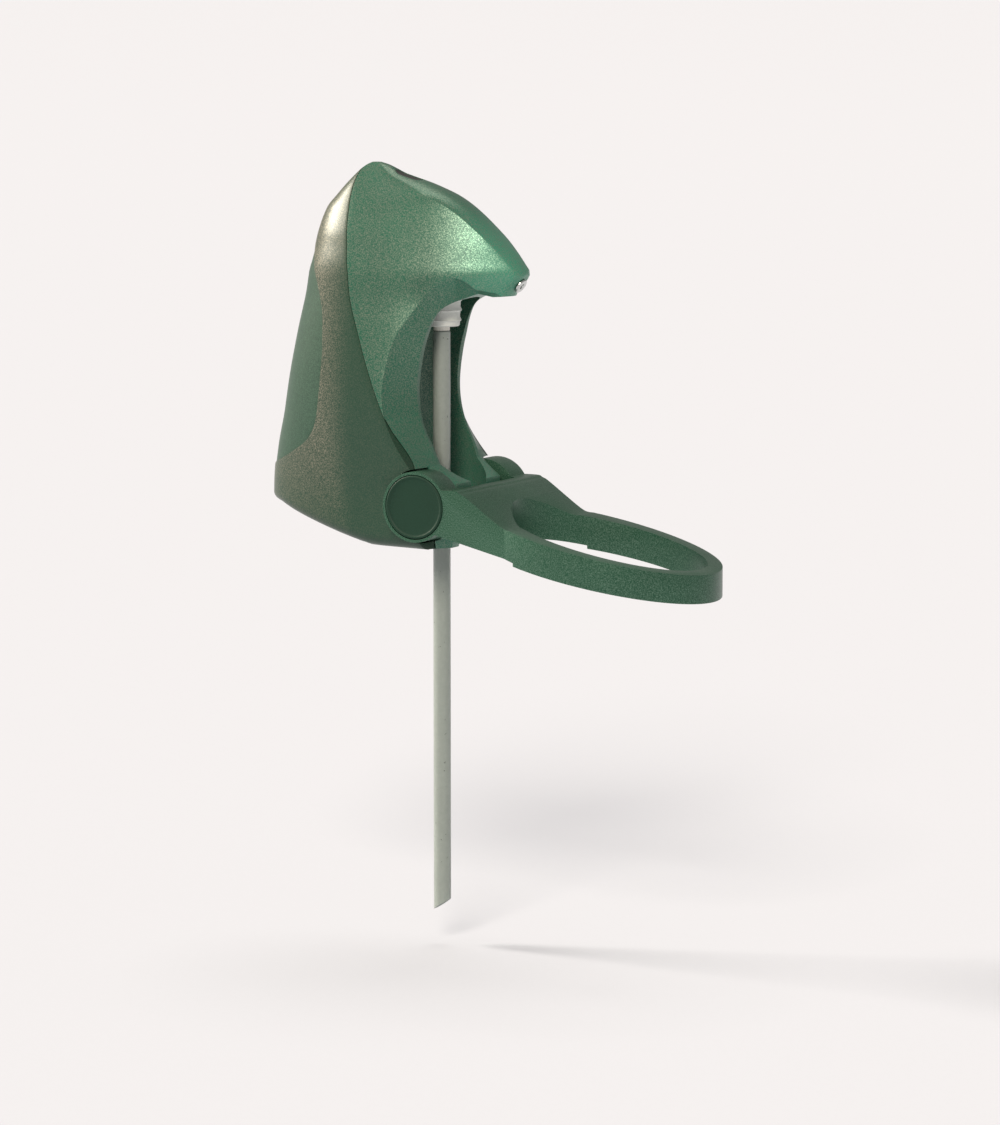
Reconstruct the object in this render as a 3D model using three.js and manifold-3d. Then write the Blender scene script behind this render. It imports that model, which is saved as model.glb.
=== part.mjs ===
// Electric cider pourer: a battery-driven head that sits on a bottle's mouth, with a hinged ring
// for a tilted glass. Millimetres. +X is the spout side, +Z is up, and the origin lies on the
// bottle's axis in the plane of its rim. The body is symmetric about the XZ plane.
import * as THREE from "three";
import { mergeVertices } from "three/addons/utils/BufferGeometryUtils.js";
import Module from "manifold-3d";

const wasm = await Module();
wasm.setup();

// Driving dimensions.
const body = {
  headHeight: 57.3, // rim of the bottle to the top of the head
  skirtDepth: 116, // rim of the bottle to the lowest edge
  rearReach: 86, // bottle axis to the rearmost point
  noseReach: 44.7, // bottle axis to the tip of the spout
  halfWidth: 38.5, // widest half width, beside the knobs
  wall: 2.6,
  underRise: 15.5, // how much higher the underside is at the rear
  edgeRound: 6, // rounding of the lower edge
  edgeLeast: 1, // least rounding where the form is drawn in
  seam: 0.3, // gap between neighbouring casings
};
const neck = { halfWidth: 21, seatHeight: 3.2, platform: 3, lowFlare: 2, midFlare: 1.2, throat: 0.4, top: 3.5,
  platformInset: 2 };
const hinge = { x: 7.8, z: -96, knobRadius: 16, innerY: 27, outerY: 41.5, earInnerY: 21.3, pocketGap: 0.8 };
const ring = {
  centreX: 81.5, centreTopZ: -110, halfLength: 56, halfWidth: 48, holeHalfLength: 45.5, holeHalfWidth: 38.5,
  holeShift: 4, rearHeight: 15, frontHeight: 12.8, tilt: THREE.MathUtils.degToRad(13.2), armTopZ: -87.6,
  armFlatX: 31, armBendX: 54, armBottomZ: -105.4, bandStartX: 59, notchRound: 5, armBend: 4, armStep: 0.2,
  armShoulder: 0.9, armDrop: 3.1, bandBlend: 3, bandStep: 0.5, armSlope: 0.25, joinLap: 0.01,
};
// Clearances. An overrun carries a cutter clear of what it cuts, and blends are simplifying tolerances.
const fit = { gap: 0.3, running: 0.35, overrun: 60, slip: 0.12, bearing: 0.05, lap: 1, blend: 0.02,
  coreBlend: 0.3 };
const facets = { hexagon: 6, coarse: 10, medium: 18, fine: 32 };

// Solids: three.js geometry in and out of manifold-3d.
function solid(geometry) {
  const plain = geometry.index ? geometry.toNonIndexed() : geometry.clone();
  plain.deleteAttribute("normal");
  plain.deleteAttribute("uv");
  const merged = mergeVertices(plain, 1e-4);
  return new wasm.Manifold(new wasm.Mesh({
    numProp: 3,
    vertProperties: new Float32Array(merged.attributes.position.array),
    triVerts: new Uint32Array(merged.index.array),
  }));
}

function geometryOf(shape) {
  const mesh = shape.getMesh();
  const positions = new Float32Array(mesh.numVert * 3);
  for (let i = 0; i < mesh.numVert; i++)
    for (let k = 0; k < 3; k++) positions[3 * i + k] = mesh.vertProperties[i * mesh.numProp + k];
  const geometry = new THREE.BufferGeometry();
  geometry.setAttribute("position", new THREE.BufferAttribute(positions, 3));
  geometry.setIndex(new THREE.BufferAttribute(new Uint32Array(mesh.triVerts), 1));
  return geometry;
}

const up = new THREE.Vector3(0, 1, 0);
const placed = (geometry, matrix) => solid(geometry.clone().applyMatrix4(matrix));
const moved = (x, y, z) => new THREE.Matrix4().makeTranslation(x, y, z);

// A cylinder or cone between two points.
function rod(from, to, radius, endRadius = radius, sides = facets.medium) {
  const a = new THREE.Vector3(...from), b = new THREE.Vector3(...to);
  const length = a.distanceTo(b);
  const turn = new THREE.Quaternion().setFromUnitVectors(up, b.clone().sub(a).normalize());
  const matrix = new THREE.Matrix4().compose(a.clone().lerp(b, 0.5), turn, new THREE.Vector3(1, 1, 1));
  return placed(new THREE.CylinderGeometry(endRadius, radius, length, sides), matrix);
}

// A box from its low corner to its high corner.
function block(low, high) {
  const size = high.map((value, k) => value - low[k]);
  const middle = high.map((value, k) => (value + low[k]) / 2);
  return placed(new THREE.BoxGeometry(...size), moved(...middle));
}

// A profile in the XZ plane pushed along Y between two stations.
function sidePrism(points, yLow, yHigh) {
  const shape = new THREE.Shape(points.map(([x, z]) => new THREE.Vector2(x, z)));
  const geometry = new THREE.ExtrudeGeometry(shape, { depth: yHigh - yLow, bevelEnabled: false });
  return placed(geometry, moved(0, yHigh, 0).multiply(new THREE.Matrix4().makeRotationX(Math.PI / 2)));
}

// A plan outline in the XY plane pushed up between two heights.
function planPrism(shape, zLow, zHigh, curveSegments = facets.medium) {
  const geometry = new THREE.ExtrudeGeometry(shape, { depth: zHigh - zLow, bevelEnabled: false, curveSegments });
  return placed(geometry, moved(0, 0, zLow));
}

// A revolve about a line through a point: profile pairs are radius and distance along the axis.
function revolve(profile, origin, direction, sides = facets.medium) {
  const points = profile.map(([radius, along]) => new THREE.Vector2(radius, along));
  const turn = new THREE.Quaternion().setFromUnitVectors(up, new THREE.Vector3(...direction).normalize());
  const matrix = new THREE.Matrix4().compose(new THREE.Vector3(...origin), turn, new THREE.Vector3(1, 1, 1));
  return placed(new THREE.LatheGeometry(points, sides), matrix);
}

// A round tube or wire along a smooth curve through points.
function sweep(points, radius, steps, sides = 8) {
  const path = new THREE.CatmullRomCurve3(points.map((p) => new THREE.Vector3(...p)));
  const section = new THREE.Shape();
  section.absarc(0, 0, radius, 0, 2 * Math.PI);
  return solid(new THREE.ExtrudeGeometry(section, { extrudePath: path, steps, curveSegments: sides / 2,
    bevelEnabled: false }));
}

// A closed surface through rings that all have the same number of points.
function loft(rings) {
  const count = rings[0].length;
  const positions = rings.flat(2);
  const faces = [];
  for (let r = 0; r + 1 < rings.length; r++)
    for (let i = 0; i < count; i++) {
      const j = (i + 1) % count, a = r * count, b = a + count;
      faces.push(a + i, a + j, b + j, a + i, b + j, b + i);
    }
  for (const [ring, flip] of [[rings[0], true], [rings[rings.length - 1], false]]) {
    const centre = positions.length / 3;
    const sum = ring.reduce((s, p) => s.map((v, k) => v + p[k] / count), [0, 0, 0]);
    positions.push(...sum);
    const start = flip ? 0 : (rings.length - 1) * count;
    for (let i = 0; i < count; i++) {
      const j = (i + 1) % count;
      faces.push(...(flip ? [centre, start + j, start + i] : [centre, start + i, start + j]));
    }
  }
  const geometry = new THREE.BufferGeometry();
  geometry.setAttribute("position", new THREE.Float32BufferAttribute(positions, 3));
  geometry.setIndex(faces);
  return solid(geometry);
}

// A smooth value through stations, without overshoot.
function smooth(stations, values, at) {
  let i = 0;
  while (i < stations.length - 2 && at > stations[i + 1]) i++;
  const slope = (k) => (values[k + 1] - values[k]) / (stations[k + 1] - stations[k]);
  const end = (k) => {
    if (k === 0) return slope(0);
    if (k === stations.length - 1) return slope(k - 1);
    const a = slope(k - 1), b = slope(k);
    return a * b <= 0 ? 0 : (2 * a * b) / (a + b);
  };
  const run = stations[i + 1] - stations[i];
  const t = Math.min(1, Math.max(0, (at - stations[i]) / run));
  const t2 = t * t, t3 = t2 * t;
  return (2 * t3 - 3 * t2 + 1) * values[i] + (t3 - 2 * t2 + t) * run * end(i) +
    (3 * t2 - 2 * t3) * values[i + 1] + (t3 - t2) * run * end(i + 1);
}

const joined = (a, b) => a.add(b);

// Casing form. Heights are shares of the head's height above the rim and of the skirt's depth below it.
// Each row: height share, rear reach share, crease x and y shares, spout edge x and y shares, front x share.
const sectionShares = [
  [-1.0, 1.005, 0.14, 1.0, 0.26, 0.9, 0.5],
  [-0.852, 1.0, 0.14, 1.0, 0.26, 0.9, 0.5],
  [-0.696, 0.978, 0.063, 1.0, 0.27, 0.88, 0.5],
  [-0.522, 0.938, -0.093, 0.971, 0.25, 0.7, 0.55],
  [-0.348, 0.896, -0.205, 0.922, 0.3, 0.52, 0.65],
  [-0.174, 0.843, -0.297, 0.847, 0.6, 0.32, 0.76],
  [-0.017, 0.788, -0.371, 0.764, 0.76, 0.19, 0.828],
  [0.14, 0.768, -0.392, 0.72, 0.91, 0.195, 0.985],
  [0.21, 0.752, -0.403, 0.694, 0.84, 0.215, 0.93],
  [0.365, 0.725, -0.42, 0.62, 0.67, 0.26, 0.762],
  [0.436, 0.714, -0.43, 0.584, 0.573, 0.275, 0.672],
  [0.64, 0.664, -0.451, 0.442, 0.23, 0.295, 0.38],
  [0.733, 0.61, -0.46, 0.36, -0.01, 0.31, 0.2],
  [0.82, 0.556, -0.463, 0.278, -0.27, 0.25, -0.05],
  [0.92, 0.485, -0.456, 0.166, -0.56, 0.15, -0.44],
  [0.98, 0.435, -0.428, 0.08, -0.67, 0.075, -0.61],
  [1.0, 0.412, -0.395, 0.04, -0.73, 0.035, -0.7],
];
const sectionCurveShares = { rearBulge: 0.62, rearLead: 0.55, rearFlare: 0.2, flareMost: 0.3, sideLead: 0.45,
  sideTurn: 0.1, noseLead: 0.6, noseTurn: 0.62, edgeInset: 0.7, bandLead: 0.5, bandTurn: 0.85, frontTurn: 0.5 };
const fineForm = { rear: 6, side: 5, band: 2, levelShares: [-0.84, -0.72, -0.6, -0.48, -0.36, -0.24, -0.12, 0, 0.09,
  0.15, 0.24, 0.35, 0.47, 0.58, 0.68, 0.77, 0.85, 0.92, 0.97, 1] };
const coarseForm = { rear: 4, side: 3, band: 2, levelShares: [-0.84, -0.6, -0.36, -0.12, 0.09, 0.24, 0.47, 0.64,
  0.8] };
const edgeTurnShares = [0, 0.3, 0.6, 1];
const shareHeights = sectionShares.map((row) => row[0]);
const heightOf = (share) => share * (share > 0 ? body.headHeight : body.skirtDepth);
const stationHeights = shareHeights.map(heightOf);
const column = (index, size) => sectionShares.map((row) => row[index] * size);
const columns = {
  rear: column(1, -body.rearReach), creaseX: column(2, body.rearReach), creaseY: column(3, body.halfWidth),
  edgeX: column(4, body.noseReach), edgeY: column(5, body.halfWidth), front: column(6, body.noseReach),
};
const at = (name, z) => smooth(stationHeights, columns[name], z);

// Points of a cubic curve, leaving out its last one.
function curvePoints(p0, p1, p2, p3, count) {
  const curve = new THREE.CubicBezierCurve(...[p0, p1, p2, p3].map(([x, y]) => new THREE.Vector2(x, y)));
  return Array.from({ length: count }, (_, i) => curve.getPoint(i / count).toArray());
}

// The closed plan section of the casing at a height, drawn in by an inset.
function section(z, inset, steps = fineForm) {
  const s = sectionCurveShares;
  const rear = at("rear", z) + inset;
  const crease = [at("creaseX", z), at("creaseY", z) - inset];
  const edge = [Math.max(at("edgeX", z) - inset, crease[0] + inset / 2), at("edgeY", z) - s.edgeInset * inset];
  const front = Math.max(at("front", z) - inset, edge[0] + inset / 2);
  const lead = s.rearLead * (crease[0] - rear);
  const side = s.sideLead * (edge[0] - crease[0]);
  const half = [
    ...curvePoints([rear, 0], [rear, s.rearBulge * crease[1]],
      [crease[0] - lead, crease[1] - Math.min(s.rearFlare * lead, s.flareMost * crease[1])], crease, steps.rear),
    ...curvePoints(crease, [crease[0] + side, crease[1] - s.sideTurn * side],
      [edge[0] - s.noseLead * side, edge[1] + s.noseTurn * (crease[1] - edge[1])], edge, steps.side),
    ...curvePoints(edge, [edge[0] + s.bandLead * (front - edge[0]), s.bandTurn * edge[1]],
      [front, s.frontTurn * edge[1]], [front, 0], steps.band),
    [front, 0],
  ];
  const far = half.slice(1, -1).reverse().map(([x, y]) => [x, -y]);
  return [...half.slice(1), ...far, half[0]].map(([x, y]) => [x, -y]);
}

// How much the underside is lifted at a place along the body, and the height share where the lift ends.
const underShares = { start: 0.23, run: 0.675, power: 1.2, end: 0.5 };
const rise = (x) => body.underRise * Math.min(1, Math.max(0, (-underShares.start * body.rearReach - x) /
  (underShares.run * body.rearReach))) ** underShares.power;

// The casing's solid form, drawn in by an inset, with its rounded lower edge.
function casingForm(inset, detail = inset > 0 ? coarseForm : fineForm) {
  const low = -body.skirtDepth + inset, liftEnd = -underShares.end * body.skirtDepth;
  const edge = Math.max(body.edgeRound - inset, body.edgeLeast);
  const levels = edgeTurnShares.map((turn) => {
    const angle = turn * Math.PI / 2;
    return { z: low + edge * (1 - Math.cos(angle)), inset: inset + edge * (1 - Math.sin(angle)) };
  });
  levels.push(...detail.levelShares.map((share) => ({ z: heightOf(share), inset })));
  return loft(levels.map((level) => section(level.z, level.inset, detail).map(([x, y]) => {
    const share = Math.min(1, Math.max(0, (liftEnd - level.z) / (liftEnd - low)));
    return [x, y, level.z + share * rise(x)];
  })));
}

// Arch opening: inner edge and outer crease, as shares of nose reach, skirt depth and half width.
const archShares = [
  [[0.517, -0.011, 0.21], [0.553, 0.009, 0.26]],
  [[0.389, -0.029, 0.26], [0.45, 0.043, 0.42]],
  [[0.275, -0.048, 0.34], [0.284, 0.057, 0.54]],
  [[0.179, -0.075, 0.43], [0.112, 0.042, 0.65]],
  [[0.105, -0.123, 0.49], [-0.034, 0.009, 0.73]],
  [[0.054, -0.177, 0.53], [-0.157, -0.07, 0.81]],
  [[0.011, -0.237, 0.545], [-0.237, -0.165, 0.85]],
  [[-0.022, -0.316, 0.545], [-0.273, -0.287, 0.9]],
  [[-0.034, -0.394, 0.545], [-0.271, -0.391, 0.93]],
  [[-0.013, -0.47, 0.545], [-0.219, -0.487, 0.94]],
  [[0.04, -0.539, 0.545], [-0.13, -0.565, 0.96]],
  [[0.128, -0.609, 0.545], [-0.022, -0.63, 0.97]],
  [[0.2, -0.678, 0.553], [0.116, -0.698, 0.98]],
  [[0.425, -0.748, 0.553], [0.179, -0.765, 0.98]],
  [[0.447, -0.87, 0.553], [0.179, -0.87, 0.98]],
  [[0.336, -1.06, 0.553], [0.179, -1.06, 0.98]],
  [[1.6, -1.06, 0.553], [1.6, -1.06, 0.98]],
  [[1.6, -0.02, 0.18], [1.6, 0, 0.24]],
  [[0.81, -0.02, 0.17], [0.83, -0.006, 0.22]],
  [[0.67, -0.023, 0.18], [0.69, -0.004, 0.24]],
];

// The arch as a cutter: a tube of outlines from one side to the other.
const archLeadShare = 0.25;
function archCutter() {
  const place = ([x, z, y]) => [x * body.noseReach, z * body.skirtDepth, y * body.halfWidth];
  const pairs = archShares.map(([inner, outer]) => {
    const a = place(inner), b = place(outer);
    const step = [b[0] - a[0], b[1] - a[1]];
    return { a, b, c: [b[0] + archLeadShare * step[0], b[1] + archLeadShare * step[1], fit.overrun] };
  });
  const ringAt = (key, sign) => pairs.map((pair) => [pair[key][0], sign * pair[key][2], pair[key][1]]);
  return loft([ringAt("c", -1), ringAt("b", -1), ringAt("a", -1), ringAt("a", 1), ringAt("b", 1), ringAt("c", 1)]
    .map((points) => points.slice().reverse()));
}

// The bottle's room under the head, grown by an amount. Its heights are shares of the skirt's depth.
const neckShares = { below: -1.2, low: -0.92, mid: -0.78, top: -0.22 };
const neckRoom = (grow) => revolve([
  [0, neckShares.below * body.skirtDepth],
  [neck.halfWidth + neck.lowFlare + grow, neckShares.below * body.skirtDepth],
  [neck.halfWidth + neck.midFlare + grow, neckShares.low * body.skirtDepth],
  [neck.halfWidth - neck.throat + grow, neckShares.mid * body.skirtDepth],
  [neck.halfWidth - neck.top + grow, neckShares.top * body.skirtDepth],
  [neck.halfWidth - neck.top + grow, neck.seatHeight + grow], [0, neck.seatHeight + grow],
], [0, 0, 0], [0, 0, 1], grow > 0 ? facets.medium : facets.fine);

// Knob pockets beside the casing, and the region behind the crease.
const knobPockets = (grow) => [-1, 1].map((side) => rod(
  [hinge.x, side * (hinge.innerY - fit.gap - grow), hinge.z], [hinge.x, side * fit.overrun, hinge.z],
  hinge.knobRadius + hinge.pocketGap + grow, undefined, grow > 0 ? facets.medium : facets.fine)).reduce(joined);

const creaseShares = { low: -1.05, high: 0.97, last: 0.96, beyond: 1.2, sleeveTop: 0.3, steps: 24 };
function rearRegion(shift) {
  const c = creaseShares, back = -c.beyond * body.rearReach;
  const heights = Array.from({ length: c.steps + 1 }, (_, i) => heightOf(c.low + (i * (c.high - c.low)) / c.steps));
  const line = heights.map((z) => [at("creaseX", Math.min(z, c.last * body.headHeight)) + shift, z]);
  const sleeveBack = -(neck.halfWidth + 4 * body.wall);
  return sidePrism([[back, heights[0]], ...line, [back, heights[c.steps]]], -fit.overrun, fit.overrun).subtract(
    block([sleeveBack + shift, -hinge.innerY + shift, -c.beyond * body.skirtDepth],
      [fit.overrun, hinge.innerY - shift, c.sleeveTop * body.headHeight]));
}

// Inner parts: sizes of the drive, the cells, the button and the bottle seat.
const drive = { z: 25.1, motorRadius: 12.2, motorLength: 27.5, motorFront: -21, shaftRadius: 1, capLength: 3,
  canRound: 0.8,
  canWall: 1.2, frontWall: 4.6, shaftGap: 0.3, capLap: 2, capInset: 1.5, capRound: 0.6 };
const gears = { teeth: 12, module: 0.9, pressure: THREE.MathUtils.degToRad(25), addendum: 0.72, dedendum: 0.97,
  backlash: 0.07, width: 6, tipGap: 0.18, pinDepth: 2.4, shaftReach: 4 };
const pump = { rear: -20.4, front: -9.4, margin: 7.8, halfWidth: 11, cover: 3, portY: 4.6, portBore: 1.3,
  barbRadius: 1.9, barbLength: 8, chamfer: 3, screwInset: 2.4, screwDrop: 4.4, screwDepth: 6, screwHead: 1.2,
  screwRadius: 1, screwHeadRadius: 1.8, screwProud: 0.2, screwRoom: 2 };
const hose = { radius: 3, bore: 2.25, sides: 8, suctionSteps: 13, outletSteps: 15, grip: 0.6, reach: 4 };
const lead = { radius: 0.8, sides: 6, batterySteps: 22, motorSteps: 18, startX: 8 };
// Routes of the hoses and leads: offsets from the barb, tray, motor or board that each end belongs to.
const routes = {
  suctionLow: [[-3.2, 0, 0], [-1, 0, 0], [1, 0.1, 0], [4.4, 1.6, 2.2]],
  suctionHigh: [[12, -0.8, -2.8], [3.4, 0, -0.2], [-3.4, 0, 0]],
  outlet: [[-3.4, 0, 0], [3, 0, -0.1], [12, 0.92, -1.4]],
  batteryTray: [[0, 6, 0.3], [0, 7, 6], [-2, 13, 21.1], [4, 16, 41.1]],
  batteryBoard: [[-9.4, 13.4, -5.6], [-3, 8, 0.8], [-0.3, 7.4, 0.8]],
  motorEnd: [[-1.2, -5, 0], [-1.7, -7, 3.4], [-1, -9.7, 8.8], [8, -9.9, 9.3], [14.5, -9.7, 9.8]],
  motorBoard: [[-4, -8.4, 0.8], [-0.3, -7, 0.8]],
};
const cell = { radius: 7.1, length: 49.2, nubRadius: 2.6, nubHeight: 1.2, pitchY: 15.4, pitchX: 15.4, rearX: -53.9,
  lowZ: -86.5 };
const tray = { wall: 1.6, gap: 0.5, lip: 3.2, bossHalf: 3, bossY: 9, bossShares: [0.16, 0.84], bossReach: 0.7 };
const button = { rear: -22.8, front: -9.4, halfWidth: 4, recess: 0.5, flange: 1.1, low: 42.6, travel: 1.2 };
const board = { rear: -20.6, front: 3, halfWidth: 9.5, low: 35.6, thick: 1.6, holeInset: 3, holeSide: 2.6,
  holeRadius: 1.2, ribRear: -5.4, ribFront: -0.4, ribDepth: 5, ribInner: 7.9 };
const tact = { x: -16, half: 2.3, height: 3.5, plungerRadius: 1.5, well: 1, stem: 2.4, rim: 0.2 };
const coil = { radius: 3.9, wire: 0.35, turns: 4, steps: 8, sides: 6, rest: 0.1 };
const stopper = { flangeRadius: 16.2, flangeTop: 2.9, plugTop: 9.1, plugLow: 8.3, depth: 17, ribs: 3, ribProud: 0.7,
  ventRadius: 1, ventX: -5.6, seat: 0.01, root: 1, ribStart: 1.1, ribSpread: 0.7, ribRise: 1.6, ribFall: 0.6 };
const tube = { radius: 4, bore: 3, low: -288, bevel: 6 };
const fitting = { flangeRadius: 5.8, flangeHeight: 2.2, spigotRadius: 3.8, barbZ: 10.4, barbEnd: 9,
  tail: 2, neck: 0.8, topRise: 2.6, boreLess: 0.6 };
const nozzle = { centreX: 40.3, centreZ: 2.6, pitch: THREE.MathUtils.degToRad(34.5), radius: 2.3, bore: 1.2,
  flangeRadius: 3.5, flangeProud: 0.5, length: 9, barb: 6, barbRadius: 1.7, nutRadius: 4.2, nutHeight: 2.4,
  nutGap: 0.3, lip: 0.5, lipRise: 0.4, dish: 0.1, room: 8, roomGap: 0.4, holeEnd: 3, face: 35.2, faceHalf: 20 };
const pin = { radius: 4, headRadius: 7.5, headHeight: 2.6, head: 37.6, washer: 1.1, boreRadius: 10, boreFrom: 33.2,
  inset: 0.6, socketDepth: 1.4, socketRadius: 2, washerLip: 1.2, holeFrom: 10 };
const cap = { radius: 14.4, thick: 3, chamfer: 0.7, proud: 0.2, rim: 0.35 };
const screw = { radius: 1.3, headRadius: 2.6, headHeight: 1.7, length: 11, bossRadius: 4, rib: 1.5, sunk: 0.4 };
const plate = { frontX: -30, inset: 6.2 };
const cover = { thick: 2, recess: 0.55 };

const outer = casingForm(0);
const inner = casingForm(body.wall);
const skin = outer.subtract(inner);

function shifted(shape, x, y, z) {
  return solid(geometryOf(shape).applyMatrix4(moved(x, y, z)));
}

// The arch's wall: its cutter pushed by a wall's thickness each way.
const wallWays = [[-1, 0, 0], [0, 0, 1], [0, 1, 0], [0, -1, 0]];
const arch = archCutter();
const archWall = wallWays.map((way) => shifted(arch, ...way.map((share) => share * body.wall)))
  .reduce(joined).simplify(fit.coreBlend);
const cavity = inner.subtract(archWall).subtract(neckRoom(body.wall)).subtract(knobPockets(body.wall))
  .simplify(fit.coreBlend);
const shell = outer.subtract(arch).subtract(neckRoom(0)).subtract(knobPockets(0)).subtract(cavity);

// A rounded slot outline along X.
function slotShape(xLow, xHigh, halfWidth) {
  const shape = new THREE.Shape();
  shape.absarc(xHigh - halfWidth, 0, halfWidth, -Math.PI / 2, Math.PI / 2);
  shape.absarc(xLow + halfWidth, 0, halfWidth, Math.PI / 2, 1.5 * Math.PI);
  return shape;
}

// An outline in the YZ plane pushed along X.
function acrossPrism(shape, xLow, xHigh, curveSegments = facets.medium) {
  const geometry = new THREE.ExtrudeGeometry(shape, { depth: xHigh - xLow, bevelEnabled: false, curveSegments });
  const axes = new THREE.Matrix4().makeBasis(new THREE.Vector3(0, 1, 0), new THREE.Vector3(0, 0, 1),
    new THREE.Vector3(1, 0, 0));
  return placed(geometry, moved(xLow, 0, 0).multiply(axes));
}

// Rear cover outline: height shares of the head above and the skirt below, half width shares.
const coverShares = [
  [0.49, 0], [0.44, 0.14], [0.36, 0.29], [0.23, 0.44], [0.06, 0.57], [-0.07, 0.66], [-0.17, 0.7], [-0.28, 0.727],
  [-0.43, 0.727], [-0.545, 0.7], [-0.62, 0.62], [-0.68, 0.45], [-0.715, 0.22], [-0.727, 0],
];
const coverReachShares = { rear: -1.3, front: -0.44 };
function coverPrism(grow) {
  const side = coverShares.map(([height, width]) => new THREE.Vector2(width * body.halfWidth, heightOf(height)));
  const curve = new THREE.SplineCurve(side).getPoints(facets.medium);
  const middle = (side[0].y + side[side.length - 1].y) / 2;
  const reach = (side[0].y - side[side.length - 1].y) / 2;
  const widest = Math.max(...coverShares.map(([, width]) => width)) * body.halfWidth;
  const scaleZ = 1 + grow / reach, scaleY = 1 + grow / widest;
  const half = curve.map((p) => [Math.max(0, p.x) * scaleY, middle + (p.y - middle) * scaleZ]);
  const loop = [...half, ...half.slice(1, -1).reverse().map(([y, z]) => [-y, z])];
  const shape = new THREE.Shape(loop.map(([y, z]) => new THREE.Vector2(y, z)));
  return acrossPrism(shape, coverReachShares.rear * body.rearReach, coverReachShares.front * body.rearReach);
}
const rearCover = casingForm(cover.recess, fineForm).subtract(casingForm(cover.recess + cover.thick))
  .intersect(coverPrism(-body.seam));

// Base plate under the cells: a piece of the bottom wall.
const plateShares = { outline: -0.9, bottom: -1.2, top: -0.8 };
function plateZone(shrink) {
  const points = section(plateShares.outline * body.skirtDepth, plate.inset + shrink);
  const shape = new THREE.Shape(points.map(([x, y]) => new THREE.Vector2(x, y)));
  const bottom = plateShares.bottom * body.skirtDepth, top = plateShares.top * body.skirtDepth;
  return planPrism(shape, bottom, top).intersect(block(
    [-fit.overrun - body.rearReach, -fit.overrun, bottom - fit.lap],
    [plate.frontX - shrink, fit.overrun, top + fit.lap]));
}
const basePlateForm = skin.intersect(plateZone(body.seam));
const screwShares = [[-0.79, 0.27], [-0.79, -0.27], [-0.42, 0.49], [-0.42, -0.49]];
const screwPlaces = screwShares.map(([x, y]) => [x * body.rearReach, y * body.halfWidth]);
const undersideAt = (x) => -body.skirtDepth + rise(x);
const bosses = screwPlaces.map(([x, y]) => rod([x, y, undersideAt(x) + body.wall + fit.gap],
  [x, y, undersideAt(x) + body.wall + screw.length], screw.bossRadius)
  .add(block([x - screw.rib, y > 0 ? y : -body.halfWidth, undersideAt(x) + body.wall + fit.gap],
    [x + screw.rib, y > 0 ? body.halfWidth : y, undersideAt(x) + body.wall + screw.length])))
  .map((boss) => boss.intersect(outer).subtract(basePlateForm).subtract(shifted(basePlateForm, 0, 0, fit.gap)));
const screwHole = ([x, y], grow) => revolve([
  [0, -body.edgeRound], [screw.headRadius + grow, -body.edgeRound], [screw.headRadius + grow, screw.headHeight],
  [screw.radius + grow, screw.headHeight], [screw.radius + grow, screw.length + grow], [0, screw.length + grow],
], [x, y, undersideAt(x)], [0, 0, 1], facets.coarse);
const screwForm = ([x, y]) => revolve([
  [0, screw.sunk], [screw.headRadius, screw.sunk], [screw.headRadius, screw.headHeight - fit.gap],
  [screw.radius, screw.headHeight - fit.gap], [screw.radius, screw.length], [0, screw.length],
], [x, y, undersideAt(x)], [0, 0, 1], facets.coarse);
const screwHoles = screwPlaces.map((place) => screwHole(place, fit.slip)).reduce(joined);

// Gear wheel about an axis along X.
function gearShape(phase, bore) {
  const g = gears, pitch = (g.teeth * g.module) / 2, base = pitch * Math.cos(g.pressure);
  const tip = pitch + g.addendum, root = pitch - g.dedendum;
  const involute = (angle) => Math.tan(angle) - angle;
  const halfTooth = Math.PI / (2 * g.teeth) - g.backlash / (2 * pitch);
  const flank = [root, base, pitch, tip].map((radius) => {
    const pressure = Math.acos(Math.min(1, base / Math.max(radius, base)));
    return [radius, halfTooth + involute(g.pressure) - involute(pressure)];
  });
  const points = [];
  for (let i = 0; i < g.teeth; i++) {
    const centre = phase + (i * 2 * Math.PI) / g.teeth;
    for (const [radius, angle] of flank) points.push([radius, centre - angle]);
    for (const [radius, angle] of flank.slice().reverse()) points.push([radius, centre + angle]);
  }
  const shape = new THREE.Shape(points.map(([r, a]) => new THREE.Vector2(r * Math.cos(a), r * Math.sin(a))));
  if (bore) {
    const hole = new THREE.Path();
    hole.absarc(0, 0, bore, 0, 2 * Math.PI, true);
    shape.holes.push(hole);
  }
  return shape;
}
const gearPitch = gears.teeth * gears.module;
const chamberRadius = gearPitch / 2 + gears.addendum + gears.tipGap;
const idlerZ = drive.z - gearPitch;
const gearFront = pump.front - fit.gap, gearRear = gearFront - gears.width;
const gearAt = (z, phase, bore) => shifted(acrossPrism(gearShape(phase, bore), gearRear, gearFront,
  facets.coarse), 0, 0, z);
const driveGear = gearAt(drive.z, -Math.PI / 2, 0).add(
  rod([drive.motorFront - gears.shaftReach, 0, drive.z], [gearFront, 0, drive.z], drive.shaftRadius, undefined,
    facets.coarse));
const idlerGear = gearAt(idlerZ, Math.PI / 2 + Math.PI / gears.teeth, drive.shaftRadius + fit.bearing);
const idlerPin = rod([gearRear - gears.pinDepth, 0, idlerZ], [gearFront, 0, idlerZ], drive.shaftRadius, undefined,
  facets.coarse);

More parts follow.
